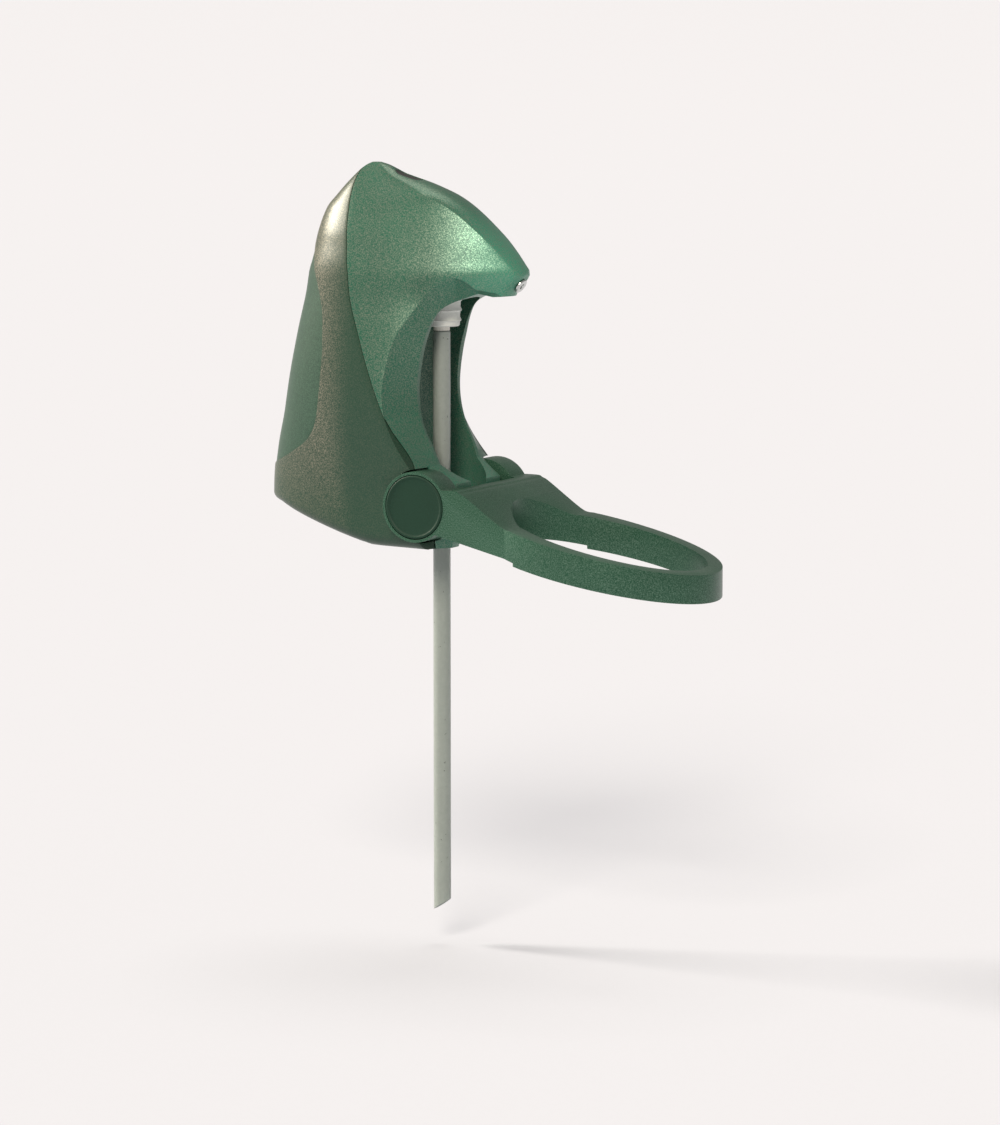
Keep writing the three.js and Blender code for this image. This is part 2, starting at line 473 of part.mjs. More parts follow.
// Gear pump body, cover with two barbs, and the motor behind it.
function pumpOutline() {
  const shape = new THREE.Shape();
  const half = pump.halfWidth, low = idlerZ - pump.margin, high = drive.z + pump.margin;
  shape.moveTo(-half, low);
  shape.lineTo(half, low);
  shape.lineTo(half, high - pump.chamfer);
  shape.lineTo(half - pump.chamfer, high);
  shape.lineTo(-half + pump.chamfer, high);
  shape.lineTo(-half, high - pump.chamfer);
  return shape;
}
const chambers = [drive.z, idlerZ].map((z) => rod([gearRear - fit.gap, 0, z], [pump.front + fit.lap, 0, z],
  chamberRadius)).reduce(joined);
const meshZ = (drive.z + idlerZ) / 2;
const pumpScrewPlaces = [[1, 1], [1, -1], [-1, 1], [-1, -1]].map(([y, z]) =>
  [y * (pump.halfWidth - pump.screwInset), meshZ + z * (gearPitch / 2 + pump.margin - pump.screwDrop)]);
const coverFront = pump.front + pump.cover;
const smallScrew = (y, z, grow) => rod([pump.front - pump.screwDepth, y, z], [coverFront, y, z],
  pump.screwRadius + grow, undefined, facets.coarse).add(rod(
  [coverFront - pump.screwHead + (grow ? 0 : fit.gap), y, z],
  [coverFront + (grow ? pump.screwRoom : pump.screwProud), y, z], pump.screwHeadRadius + grow, undefined,
  facets.coarse));
const pumpScrewHoles = pumpScrewPlaces.map(([y, z]) => smallScrew(y, z, fit.slip)).reduce(joined);
const ports = [-1, 1].map((side) => rod([gearRear, side * pump.portY, meshZ],
  [coverFront + pump.barbLength + fit.lap, side * pump.portY, meshZ], pump.portBore, undefined, facets.coarse))
  .reduce(joined);
const pumpBody = acrossPrism(pumpOutline(), pump.rear, pump.front).subtract(chambers)
  .subtract(ports).subtract(pumpScrewHoles)
  .subtract(rod([pump.rear - fit.lap, 0, drive.z], [gearRear, 0, drive.z], drive.shaftRadius + fit.bearing, undefined,
    facets.coarse))
  .subtract(rod([gearRear - gears.pinDepth - fit.gap, 0, idlerZ], [gearRear, 0, idlerZ],
    drive.shaftRadius + fit.bearing, undefined, facets.coarse));
const pumpCover = acrossPrism(pumpOutline(), pump.front + fit.gap, coverFront)
  .add([-1, 1].map((side) => rod([pump.front + fit.lap, side * pump.portY, meshZ],
    [coverFront + pump.barbLength, side * pump.portY, meshZ], pump.barbRadius, undefined, facets.coarse))
    .reduce(joined))
  .subtract(ports).subtract(pumpScrewHoles);
const motorRear = drive.motorFront - drive.motorLength;
const canEnd = drive.motorLength - drive.capLength;
const motorCan = revolve([[drive.shaftRadius + drive.shaftGap, 0], [drive.motorRadius - drive.canRound, 0],
  [drive.motorRadius, drive.canRound], [drive.motorRadius, canEnd], [drive.motorRadius - drive.canWall, canEnd],
  [drive.motorRadius - drive.canWall, drive.frontWall], [drive.shaftRadius + drive.shaftGap, drive.frontWall],
  [drive.shaftRadius + drive.shaftGap, 0]], [drive.motorFront, 0, drive.z], [-1, 0, 0], facets.medium);
const motorCap = revolve([[0, canEnd - drive.capLap], [drive.motorRadius - drive.capInset, canEnd - drive.capLap],
  [drive.motorRadius - drive.capInset, canEnd + fit.gap], [drive.motorRadius, canEnd + fit.gap],
  [drive.motorRadius, drive.motorLength - drive.capRound], [drive.motorRadius - drive.capRound, drive.motorLength],
  [0, drive.motorLength]], [drive.motorFront, 0, drive.z], [-1, 0, 0], facets.medium);

// Four cells in two pairs, and their tray, open to the rear.
const cellX = [cell.rearX, cell.rearX + cell.pitchX], cellY = [-cell.pitchY / 2, cell.pitchY / 2];
const cellPlaces = cellX.flatMap((x) => cellY.map((y) => [x, y]));
const cellForm = ([x, y], upright) => {
  const low = cell.lowZ + tray.lip + fit.gap;
  const end = low + cell.length;
  const profile = upright
    ? [[0, low], [cell.radius, low], [cell.radius, end], [cell.nubRadius, end],
      [cell.nubRadius, end + cell.nubHeight], [0, end + cell.nubHeight]]
    : [[0, low], [cell.nubRadius, low], [cell.nubRadius, low + cell.nubHeight], [cell.radius, low + cell.nubHeight],
      [cell.radius, end + cell.nubHeight], [0, end + cell.nubHeight]];
  return revolve(profile, [x, y, 0], [0, 0, 1], facets.medium);
};
const trayTop = cell.lowZ + 2 * tray.lip + cell.length + cell.nubHeight + 2 * fit.gap;
const trayHalf = cell.pitchY / 2 + cell.radius + tray.gap + tray.wall;
const trayFront = cellX[1] + cell.radius + tray.gap + tray.wall, trayRear = cellX[0] - cell.radius - tray.gap;
const trayForm = block([trayRear, -trayHalf, cell.lowZ], [trayFront, trayHalf, trayTop])
  .subtract(block([trayRear - fit.lap, -trayHalf + tray.wall, cell.lowZ + tray.lip], [trayFront - tray.wall,
    trayHalf - tray.wall, trayTop - tray.lip]));
const trayBosses = [-1, 1].flatMap((side) => tray.bossShares.map((share) => {
  const z = cell.lowZ + share * (trayTop - cell.lowZ);
  return block([trayFront + fit.gap, side * tray.bossY - tray.bossHalf, z - tray.bossHalf],
    [-tray.bossReach * neck.halfWidth, side * tray.bossY + tray.bossHalf, z + tray.bossHalf])
    .subtract(neckRoom(body.wall / 2));
})).reduce(joined);

// Push button, its spring, the board and the switch below it.
const buttonSlot = (grow, low, high) => planPrism(slotShape(button.rear - grow, button.front + grow,
  button.halfWidth + grow), low, high, facets.coarse / 2);
const buttonForm = buttonSlot(0, button.low, body.headHeight).intersect(shifted(outer, 0, 0, -button.recess))
  .add(buttonSlot(button.flange, button.low, body.headHeight)
    .intersect(shifted(outer, 0, 0, -body.wall - button.travel)));
const boardForm = block([board.rear, -board.halfWidth, board.low], [board.front, board.halfWidth,
  board.low + board.thick]).subtract([-1, 1].map((side) => {
  const x = board.front - board.holeInset, y = side * (board.halfWidth - board.holeSide);
  return rod([x, y, board.low - fit.lap], [x, y, board.low + board.thick + fit.lap], board.holeRadius, undefined,
    facets.coarse);
}).reduce(joined));
const boardTop = board.low + board.thick;
const tactBody = block([tact.x - tact.half, -tact.half, boardTop], [tact.x + tact.half, tact.half,
  boardTop + tact.height]).subtract(rod([tact.x, 0, boardTop + tact.well], [tact.x, 0, boardTop + 2 * tact.height],
  tact.plungerRadius + tact.rim, undefined, facets.coarse));
const tactPlunger = rod([tact.x, 0, boardTop + tact.stem], [tact.x, 0, button.low - fit.gap], tact.plungerRadius,
  undefined, facets.coarse);
function coilForm() {
  const low = boardTop + coil.wire + coil.rest, high = button.low - coil.wire - coil.rest;
  const steps = coil.turns * coil.steps;
  const points = Array.from({ length: steps + 1 }, (_, i) => {
    const angle = (i / coil.steps) * 2 * Math.PI;
    return [tact.x + coil.radius * Math.cos(angle), coil.radius * Math.sin(angle), low + ((high - low) * i) / steps];
  });
  return sweep(points, coil.wire, steps, coil.sides);
}
const boardRibs = [-1, 1].map((side) => block(
  [board.ribRear, Math.min(side * board.ribInner, side * fit.overrun), board.low - board.ribDepth],
  [board.ribFront, Math.max(side * board.ribInner, side * fit.overrun), board.low - fit.gap]))
  .reduce(joined).intersect(outer);

// Bottle seat: a ribbed stopper, the fitting through it and the tube that hangs from the fitting.
const plugAt = (share) => stopper.plugTop + (stopper.plugLow - stopper.plugTop) * share;
const stopperBore = fitting.spigotRadius + fit.slip;
const stopperProfile = [[stopperBore, stopper.seat], [stopper.flangeRadius, stopper.seat],
  [stopper.flangeRadius, stopper.flangeTop], [stopperBore, stopper.flangeTop]];
const plugProfile = [[stopperBore, stopper.root], [stopper.plugTop, stopper.root]];
for (let i = 0; i < stopper.ribs; i++) {
  const share = (i + stopper.ribStart) / (stopper.ribs + stopper.ribSpread), z = -stopper.depth * share;
  plugProfile.push([plugAt(share), z + stopper.ribRise], [plugAt(share) + stopper.ribProud, z],
    [plugAt(share), z - stopper.ribFall]);
}
plugProfile.push([plugAt(1), -stopper.depth], [stopperBore, -stopper.depth]);
const closed = (profile) => [...profile, profile[0]];
const stopperForm = revolve(closed(stopperProfile), [0, 0, 0], [0, 0, 1])
  .add(revolve(closed(plugProfile).reverse(), [0, 0, 0], [0, 0, 1]))
  .subtract(rod([stopper.ventX, 0, -fit.overrun], [stopper.ventX, 0, fit.overrun], stopper.ventRadius, undefined,
    facets.coarse));
const floorTop = neck.seatHeight + neck.platform, fittingTop = floorTop + fitting.flangeHeight;
const fittingLow = -stopper.depth - fitting.tail;
const fittingForm = revolve([[0, fittingLow], [fitting.spigotRadius, fittingLow],
  [fitting.spigotRadius, floorTop + fit.gap], [fitting.flangeRadius, floorTop + fit.gap],
  [fitting.flangeRadius, fittingTop], [fitting.spigotRadius + fitting.neck, fittingTop],
  [fitting.spigotRadius, fitting.barbZ + fitting.topRise], [0, fitting.barbZ + fitting.topRise]],
[0, 0, 0], [0, 0, 1], facets.medium)
  .add(rod([0, 0, fitting.barbZ], [fitting.barbEnd, 0, fitting.barbZ], pump.barbRadius, undefined, facets.coarse))
  .subtract(rod([0, 0, -fit.overrun], [0, 0, fitting.barbZ], tube.bore - fitting.boreLess, undefined, facets.coarse))
  .subtract(rod([0, 0, fitting.barbZ], [fitting.barbEnd + fit.lap, 0, fitting.barbZ], pump.portBore, undefined,
    facets.coarse));
const tubeTop = fittingLow - fit.gap, tubeWide = tube.radius + fit.lap;
const dipTube = rod([0, 0, tube.low], [0, 0, tubeTop], tube.radius, undefined, facets.medium)
  .subtract(rod([0, 0, tube.low - fit.lap], [0, 0, tubeTop + fit.lap], tube.bore, undefined, facets.medium))
  .subtract(sidePrism([[-tubeWide, tube.low - fit.lap], [tubeWide, tube.low - fit.lap],
    [tubeWide, tube.low + tube.bevel]], -tubeWide, tubeWide));

// Hoses from the fitting to the pump, and from the pump to the nozzle.
const barbTip = coverFront + pump.barbLength;
const follow = (route, origin) => route.map((offset) => offset.map((value, k) => value + origin[k]));
const nozzleAlong = (distance) => [nozzle.centreX - distance * Math.cos(nozzle.pitch), 0,
  nozzle.centreZ + distance * Math.sin(nozzle.pitch)];
const nozzleEnd = nozzle.length + nozzle.barb;
const hoseForm = (points, steps) => sweep(points, hose.radius, steps, hose.sides)
  .subtract(sweep(points, hose.bore, steps, hose.sides));
const suctionHose = hoseForm([...follow(routes.suctionLow, [fitting.barbEnd, 0, fitting.barbZ]),
  ...follow(routes.suctionHigh, [barbTip, pump.portY, meshZ])], hose.suctionSteps);
const outletHose = hoseForm([...follow(routes.outlet, [barbTip, -pump.portY, meshZ]),
  nozzleAlong(nozzleEnd + hose.reach), nozzleAlong(nozzleEnd), nozzleAlong(nozzle.length + hose.grip)],
hose.outletSteps);
const nozzleAxis = [Math.cos(nozzle.pitch), 0, -Math.sin(nozzle.pitch)];
const flangeFace = nozzle.flangeProud + fit.gap;
const nozzleProfile = [[nozzle.bore, -nozzleEnd], [nozzle.barbRadius, -nozzleEnd],
  [nozzle.barbRadius, -nozzle.length], [nozzle.radius, -nozzle.length], [nozzle.radius, fit.gap],
  [nozzle.flangeRadius, fit.gap], [nozzle.flangeRadius, flangeFace],
  [nozzle.flangeRadius - nozzle.lip, flangeFace + nozzle.lipRise],
  [nozzle.bore + nozzle.lip, flangeFace + nozzle.lipRise], [nozzle.bore, flangeFace - nozzle.dish]];
const nozzleForm = revolve(closed(nozzleProfile), [nozzle.centreX, 0, nozzle.centreZ], nozzleAxis, facets.medium);
const nutBack = body.wall + nozzle.nutGap + nozzle.nutHeight;
const nozzleNut = rod(nozzleAlong(nutBack), nozzleAlong(body.wall + nozzle.nutGap), nozzle.nutRadius, undefined,
  facets.hexagon).subtract(rod(nozzleAlong(nutBack + fit.lap), nozzleAlong(0), nozzle.radius + fit.slip));
const nutRoom = rod(nozzleAlong(nozzleEnd + nozzle.room), nozzleAlong(body.wall),
  nozzle.nutRadius + nozzle.roomGap);
// A cutter that gives the nozzle a flat face square to its axis.
const faceCorner = (out, up) => [nozzle.centreX + out * Math.cos(nozzle.pitch) + up * Math.sin(nozzle.pitch),
  nozzle.centreZ - out * Math.sin(nozzle.pitch) + up * Math.cos(nozzle.pitch)];
const nozzleFace = sidePrism([faceCorner(0, -nozzle.face), faceCorner(nozzle.face, -nozzle.face),
  faceCorner(nozzle.face, nozzle.face), faceCorner(0, nozzle.face)], -nozzle.faceHalf, nozzle.faceHalf);

// Hinge hardware on both sides.
const side = (sign, from, to) => [[hinge.x, sign * from, hinge.z], [hinge.x, sign * to, hinge.z]];
const headLow = pin.head - pin.headHeight, washerTop = headLow - fit.gap / 2;
const pinForm = (sign) => rod(...side(sign, hinge.earInnerY + pin.inset, pin.head - fit.lap), pin.radius)
  .add(rod(...side(sign, headLow, pin.head), pin.headRadius))
  .subtract(rod(...side(sign, pin.head - pin.socketDepth, pin.head + fit.lap), pin.socketRadius, undefined,
    facets.hexagon));
const washerForm = (sign) => rod(...side(sign, washerTop - pin.washer, washerTop), pin.headRadius + pin.washerLip)
  .subtract(rod(...side(sign, hinge.earInnerY, hinge.outerY), pin.radius + fit.running));
const capForm = (sign) => revolve([[0, -cap.thick], [cap.radius, -cap.thick], [cap.radius, -cap.chamfer],
  [cap.radius - cap.chamfer, 0], [0, 0]], [hinge.x, sign * (hinge.outerY + cap.proud), hinge.z], [0, sign, 0],
facets.fine);

// Glass ring: an oval band on two arms with round hinge drums, and a web between the arms.
const plane = (x) => ring.centreTopZ - Math.tan(ring.tilt) * (x - ring.centreX);
const ringFront = ring.centreX + ring.halfLength, ringRear = ring.centreX - ring.halfLength;
function oval(centre, halfLength, halfWidth) {
  const shape = new THREE.Shape();
  shape.absellipse(centre, 0, halfLength, halfWidth, 0, 2 * Math.PI);
  return shape;
}
const ringShares = { low: -1.4, high: -0.5 };
const low = ringShares.low * body.skirtDepth, high = ringShares.high * body.skirtDepth;
const bandPlan = planPrism(oval(ring.centreX, ring.halfLength, ring.halfWidth), low, high, facets.fine / 2);
const armBlock = block([hinge.x, -hinge.outerY, low], [ring.bandStartX, hinge.outerY, high]);
const holePlan = planPrism(oval(ring.centreX + ring.holeShift, ring.holeHalfLength, ring.holeHalfWidth), low, high,
  facets.fine / 2);
function notchShape() {
  const shape = new THREE.Shape(), w = hinge.innerY, r = ring.notchRound, front = ringRear;
  shape.moveTo(-body.rearReach, -w);
  shape.lineTo(front - r, -w);
  shape.absarc(front - r, r - w, r, -Math.PI / 2, 0);
  shape.absarc(front - r, w - r, r, 0, Math.PI / 2);
  shape.lineTo(-body.rearReach, w);
  return shape;
}
const webNotch = planPrism(notchShape(), low, high, facets.coarse / 2);
const armTop = [[hinge.x, ring.armTopZ], [ring.armFlatX - ring.armBend, ring.armTopZ + ring.armStep],
  [ring.armFlatX, ring.armTopZ - ring.armShoulder], [ring.armFlatX + ring.armBend, ring.armTopZ - ring.armDrop],
  [ring.armBendX - ring.bandBlend, plane(ring.armBendX - ring.bandBlend) + ring.bandStep],
  [ring.armBendX + ring.bandBlend, plane(ring.armBendX + ring.bandBlend)]];
const armLowAt = (x) => ring.armBottomZ - ring.armSlope * (x - hinge.x);
const armSide = sidePrism([...armTop, [ring.bandStartX, plane(ring.bandStartX)],
  [ring.bandStartX, armLowAt(ring.bandStartX)], [hinge.x, armLowAt(hinge.x)]], -fit.overrun, fit.overrun);
const bandRear = ring.bandStartX - ring.joinLap, bandFront = ringFront + fit.lap;
const bandSide = sidePrism([[bandRear, plane(ring.bandStartX)], [bandFront, plane(bandFront)],
  [bandFront, plane(bandFront) - ring.frontHeight], [bandRear, plane(ring.bandStartX) - ring.rearHeight]],
-fit.overrun, fit.overrun);
const drums = [-1, 1].map((sign) => rod(...side(sign, hinge.innerY, hinge.outerY), hinge.knobRadius, undefined,
  facets.fine)).reduce(joined);
const drumBores = [-1, 1].map((sign) => rod(...side(sign, hinge.innerY - fit.lap, hinge.outerY),
  pin.radius + fit.running).add(rod(...side(sign, pin.boreFrom, hinge.outerY), pin.boreRadius))
  .add(rod(...side(sign, hinge.outerY + cap.proud - cap.thick - fit.gap, hinge.outerY + fit.lap),
    cap.radius + fit.gap, undefined, facets.fine))).reduce(joined);
const ringForm = bandPlan.add(armBlock).intersect(armSide)
  .subtract(webNotch)
  .add(bandPlan.intersect(bandSide))
  .add(drums)
  .subtract(holePlan)
  .subtract(drumBores);

// Leads from the tray to the board and from the board to the motor.
const leadForm = (points, steps) => sweep(points, lead.radius, steps, lead.sides);
const boardEnd = [board.rear, 0, board.low];
const batteryLead = leadForm([...follow(routes.batteryTray, [trayFront - lead.startX, 0, trayTop]),
  ...follow(routes.batteryBoard, boardEnd)], lead.batterySteps);
const motorLead = leadForm([...follow(routes.motorEnd, [motorRear, 0, drive.z]),
  ...follow(routes.motorBoard, boardEnd)], lead.motorSteps);

// Casings with their holes.
const coverHole = coverPrism(0);
const nozzleHole = revolve([[0, -body.noseReach / 2], [nozzle.radius + fit.slip, -body.noseReach / 2],
  [nozzle.radius + fit.slip, nozzle.holeEnd], [0, nozzle.holeEnd]], [nozzle.centreX, 0, nozzle.centreZ], nozzleAxis);
const spigotHole = rod([0, 0, 0], [0, 0, floorTop + fit.lap], fitting.spigotRadius + fit.gap)
  .add(rod([stopper.ventX, 0, 0], [stopper.ventX, 0, floorTop + fit.lap], stopper.ventRadius, undefined,
    facets.coarse));
const platform = rod([0, 0, neck.seatHeight], [0, 0, floorTop], neck.halfWidth - neck.platformInset);
const pinHoles = [-1, 1].map((sign) => rod(...side(sign, pin.holeFrom, hinge.outerY), pin.radius + fit.slip))
  .reduce(joined);
const buttonRoom = buttonSlot(button.flange + fit.running, button.low - 2 * fit.lap, body.headHeight)
  .intersect(shifted(outer, 0, 0, -body.wall));
const casing = shell.subtract(buttonRoom).add(platform).add(trayBosses).add(boardRibs)
  .add(bosses.reduce(joined)).subtract(plateZone(0).subtract(shifted(inner, 0, 0, fit.gap)))
  .subtract(screwHoles).subtract(nozzleFace).subtract(nozzleHole).subtract(nutRoom)
  .subtract(spigotHole).subtract(pinHoles)
  .subtract(buttonSlot(fit.running, button.low + fit.lap, body.headHeight + fit.lap))
  .subtract(coverHole);
const largest = (shape) => shape.decompose().sort((a, b) => b.volume() - a.volume())[0];
const pieces = {
  front_shell: [largest(casing.subtract(rearRegion(body.seam / 2))), 0x2a6b4c, 0.48, 0.25],
  rear_shell: [largest(casing.intersect(rearRegion(-body.seam / 2))), 0x3d6650, 0.48, 0.3],
  rear_cover: [rearCover, 0x5f8068, 0.5, 0.25],
  base_plate: [basePlateForm.subtract(screwHoles), 0x26302b, 0.6, 0],
  glass_ring: [ringForm, 0x2f5a43, 0.5, 0.25],
  push_button: [buttonForm, 0x1b1d1c, 0.55, 0],
  nozzle: [nozzleForm, 0xc9ccca, 0.25, 1],
  nozzle_nut: [nozzleNut, 0xb0b3b1, 0.35, 1],
  bottle_stopper: [stopperForm, 0xd9dcd8, 0.6, 0],
  stopper_fitting: [fittingForm, 0xe8e8e4, 0.4, 0],
  dip_tube: [dipTube, 0xdfe3e0, 0.3, 0],
  suction_hose: [suctionHose, 0xcfd4d2, 0.4, 0],
  outlet_hose: [outletHose, 0xcfd4d2, 0.4, 0],
  pump_body: [pumpBody, 0xd8d6cf, 0.45, 0],
  pump_cover: [pumpCover, 0xd8d6cf, 0.45, 0],
  drive_gear_shaft: [driveGear, 0xa9adac, 0.3, 1],
  idler_gear: [idlerGear, 0xe6e2d6, 0.4, 0],
  idler_pin: [idlerPin, 0xa9adac, 0.3, 1],
  motor_can: [motorCan, 0xb9bcbb, 0.3, 1],
  motor_end_cap: [motorCap, 0x1d1f1f, 0.5, 0],
  circuit_board: [boardForm, 0x1f5a3a, 0.5, 0],
  tact_switch: [tactBody, 0x8f9392, 0.4, 0.6],
  switch_plunger: [tactPlunger, 0x161616, 0.5, 0],
  button_spring: [coilForm(), 0xb9bcbb, 0.3, 1],
  battery_tray: [trayForm, 0x1e2120, 0.6, 0],
  battery_lead: [batteryLead, 0xa02420, 0.45, 0],
  motor_lead: [motorLead, 0x202020, 0.45, 0],
};
cellPlaces.forEach((place, i) => {
  pieces["battery_" + (i + 1)] = [cellForm(place, i % 2 === 0), 0x6f777a, 0.35, 0.7];
});
screwPlaces.forEach((place, i) => {
  pieces["base_screw_" + (i + 1)] = [screwForm(place), 0x3a3d3c, 0.4, 1];
});
pumpScrewPlaces.forEach(([y, z], i) => {
  pieces["pump_screw_" + (i + 1)] = [smallScrew(y, z, 0), 0x9a9d9c, 0.35, 1];
});
for (const [sign, name] of [[-1, "right"], [1, "left"]]) {
  pieces["hinge_pin_" + name] = [pinForm(sign), 0x9a9d9c, 0.35, 1];
  pieces["friction_washer_" + name] = [washerForm(sign), 0xcaccca, 0.4, 0.8];
  pieces["knob_cap_" + name] = [capForm(sign), 0x27452f, 0.5, 0.25];
}

const root = new THREE.Group();
for (const [name, [shape, color, roughness, metalness]] of Object.entries(pieces)) {
  const material = new THREE.MeshStandardMaterial({ color, roughness, metalness });
  const mesh = new THREE.Mesh(geometryOf(shape.simplify(fit.blend)), material);
  mesh.name = name;
  root.add(mesh);
}

export default root;
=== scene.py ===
"""Electric cider pourer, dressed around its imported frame.

Sizes are millimetres in the frame's axes: +X is the spout side, +Z is up, and the origin lies on the bottle's
axis in the plane of its rim. A piece is scaled to metres when it is finished.
"""
import logging
import math
from dataclasses import dataclass
from enum import Enum
from typing import Callable, Iterable, Optional, Sequence

import bmesh
import bpy
import numpy as np
from mathutils import Matrix, Vector


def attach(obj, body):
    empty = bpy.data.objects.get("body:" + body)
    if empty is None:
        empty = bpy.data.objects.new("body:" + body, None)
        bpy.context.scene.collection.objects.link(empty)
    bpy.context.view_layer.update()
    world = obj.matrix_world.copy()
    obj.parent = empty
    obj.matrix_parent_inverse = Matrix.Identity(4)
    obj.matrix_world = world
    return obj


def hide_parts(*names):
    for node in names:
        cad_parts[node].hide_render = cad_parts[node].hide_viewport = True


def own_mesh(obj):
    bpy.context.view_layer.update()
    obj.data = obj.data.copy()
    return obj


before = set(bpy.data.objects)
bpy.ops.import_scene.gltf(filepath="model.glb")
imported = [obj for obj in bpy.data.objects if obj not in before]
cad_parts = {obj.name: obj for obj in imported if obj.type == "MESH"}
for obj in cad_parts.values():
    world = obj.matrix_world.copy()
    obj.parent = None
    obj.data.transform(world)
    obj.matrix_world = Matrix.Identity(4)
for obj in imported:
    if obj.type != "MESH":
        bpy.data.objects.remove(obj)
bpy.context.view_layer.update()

log = logging.getLogger("cider_pourer")
MM = 0.001
# How far a cutter runs past the head's sides.
OVERRUN = 60.0
# Distances under which points are one: in a new mesh, in a turned outline, and on a cut edge before it is
# rounded, where slivers go too.
SAME_POINT = 1e-4
ON_AXIS = 1e-6
CUT_WELD = 0.15
CUT_SLIVER = 0.05
# Places that two sub-assemblies share: the hinge's x and height, its drums' radius and inner faces, the middle
# and downward angle of the spout's face, and the vent's x and radius.
HINGE = (7.8, -96.0)
DRUM_RADIUS = 16.0
DRUM_INNER = 27.0
SPOUT_PLACE = (40.3, 0.0, 2.6)
SPOUT_PITCH = math.radians(34.5)
VENT = (-5.6, 1.0)
Point2 = Sequence[float]
Point3 = Sequence[float]


class Cut(Enum):
    """How one solid acts on another."""

    AWAY = "DIFFERENCE"
    JOIN = "UNION"
    COMMON = "INTERSECT"


class Axis(Enum):
    """The axis that an outline is pushed along."""

    X = "x"
    Y = "y"
    Z = "z"


class Side(Enum):
    """The two sides of the head: right is the side that the front camera sees."""

    RIGHT = -1
    LEFT = 1


# Mesh helpers.
def solid_from(name: str, points: Iterable[Point3], faces: Iterable[Sequence[int]]) -> bpy.types.Object:
    """Makes a closed object from points and faces.

    Args:
        name: The object's name.
        points: Corner points, in millimetres.
        faces: Corner numbers of each face.

    Returns:
        An object in the scene whose faces point outwards.
    """
    mesh = bpy.data.meshes.new(name)
    mesh.from_pydata([tuple(float(v) for v in p) for p in points], [], [list(f) for f in faces])
    shape = bmesh.new()
    shape.from_mesh(mesh)
    bmesh.ops.remove_doubles(shape, verts=shape.verts, dist=SAME_POINT)
    bmesh.ops.recalc_face_normals(shape, faces=shape.faces)
    shape.to_mesh(mesh)
    shape.free()
    thing = bpy.data.objects.new(name, mesh)
    bpy.context.scene.collection.objects.link(thing)
    return thing


def loft(name: str, rings: Sequence[np.ndarray]) -> bpy.types.Object:
    """Joins rings of the same number of points into a closed solid.

    Args:
        name: The object's name.
        rings: Arrays of points, one array for each ring.

    Returns:
        The lofted object, with flat ends.
    """
    count = len(rings[0])
    faces: list[list[int]] = []
    for r in range(len(rings) - 1):
        for i in range(count):
            j = (i + 1) % count
            faces.append([r * count + i, r * count + j, (r + 1) * count + j, (r + 1) * count + i])
    faces.append(list(range(count)))
    faces.append(list(range((len(rings) - 1) * count, len(rings) * count))[::-1])
    return solid_from(name, np.concatenate(rings), faces)


def prism(name: str, outline: Sequence[Point2], axis: Axis, low: float, high: float) -> bpy.types.Object:
    """Pushes an outline along an axis.

    Args:
        name: The object's name.
        outline: Points in the other two axes, in their X, Y, Z order.
        axis: The axis to push along.
        low: Where the solid starts.
        high: Where it ends.

    Returns:
        The pushed solid.
    """
    place: dict[Axis, Callable[[Point2, float], Point3]] = {
        Axis.X: lambda p, d: (d, p[0], p[1]),
        Axis.Y: lambda p, d: (p[0], d, p[1]),
        Axis.Z: lambda p, d: (p[0], p[1], d),
    }
    return loft(name, [np.array([place[axis](p, d) for p in outline]) for d in (low, high)])


def block(name: str, low: Point3, high: Point3) -> bpy.types.Object:
    """A box between two corners."""
    return prism(name, [(low[0], low[1]), (high[0], low[1]), (high[0], high[1]), (low[0], high[1])], Axis.Z,
                 low[2], high[2])


def lathe(name: str, profile: Sequence[Point2], origin: Point3 = (0, 0, 0), axis: Point3 = (0, 0, 1),
          sides: int = 96) -> bpy.types.Object:
    """Turns a closed profile about a line.

    Args:
        name: The object's name.
        profile: Pairs of radius and distance along the line, in order round the section.
        origin: A point on the line.
        axis: The line's direction.
        sides: Number of facets round the line.

    Returns:
        The turned solid.
    """
    turn = Vector(axis).normalized().to_track_quat("Z", "Y").to_matrix()
    base = Vector(origin)
    rings = []
    for i in range(sides):
        angle = 2 * math.pi * i / sides
        rings.append([base + turn @ Vector((r * math.cos(angle), r * math.sin(angle), d))
                      for r, d in profile])
    count = len(profile)
    faces = []
    for i in range(sides):
        k = (i + 1) % sides
        for j in range(count):
            n = (j + 1) % count
            if profile[j][0] < ON_AXIS and profile[n][0] < ON_AXIS:
                continue
            faces.append([i * count + j, k * count + j, k * count + n, i * count + n])
    points = [p for ring in rings for p in ring]
    return solid_from(name, points, [dedupe(f, points) for f in faces])


def dedupe(face: Sequence[int], points: Sequence[Vector]) -> list[int]:
    """Drops a corner of a face that lies on the corner before it."""
    kept: list[int] = []
    for number in face:
        if not any((points[number] - points[k]).length < ON_AXIS for k in kept):
            kept.append(number)
    return kept


def rod(name: str, start: Point3, end: Point3, radius: float, sides: int = 64) -> bpy.types.Object:
    """A round bar between two points."""
    line = Vector(end) - Vector(start)
    return lathe(name, [(0, 0), (radius, 0), (radius, line.length), (0, line.length)], start, line, sides)


def work(base: bpy.types.Object, tool: bpy.types.Object, cut: Cut) -> bpy.types.Object:
    """Joins, cuts or intersects two solids.

    Args:
        base: The solid that is changed.
        tool: The solid that acts on it.
        cut: What the tool does. It is removed afterwards.

    Returns:
        The changed base.
    """
    modifier = base.modifiers.new("work", "BOOLEAN")
    modifier.object, modifier.operation, modifier.solver = tool, cut.value, "MANIFOLD"
    bake(base)
    bpy.data.objects.remove(tool)
    return base


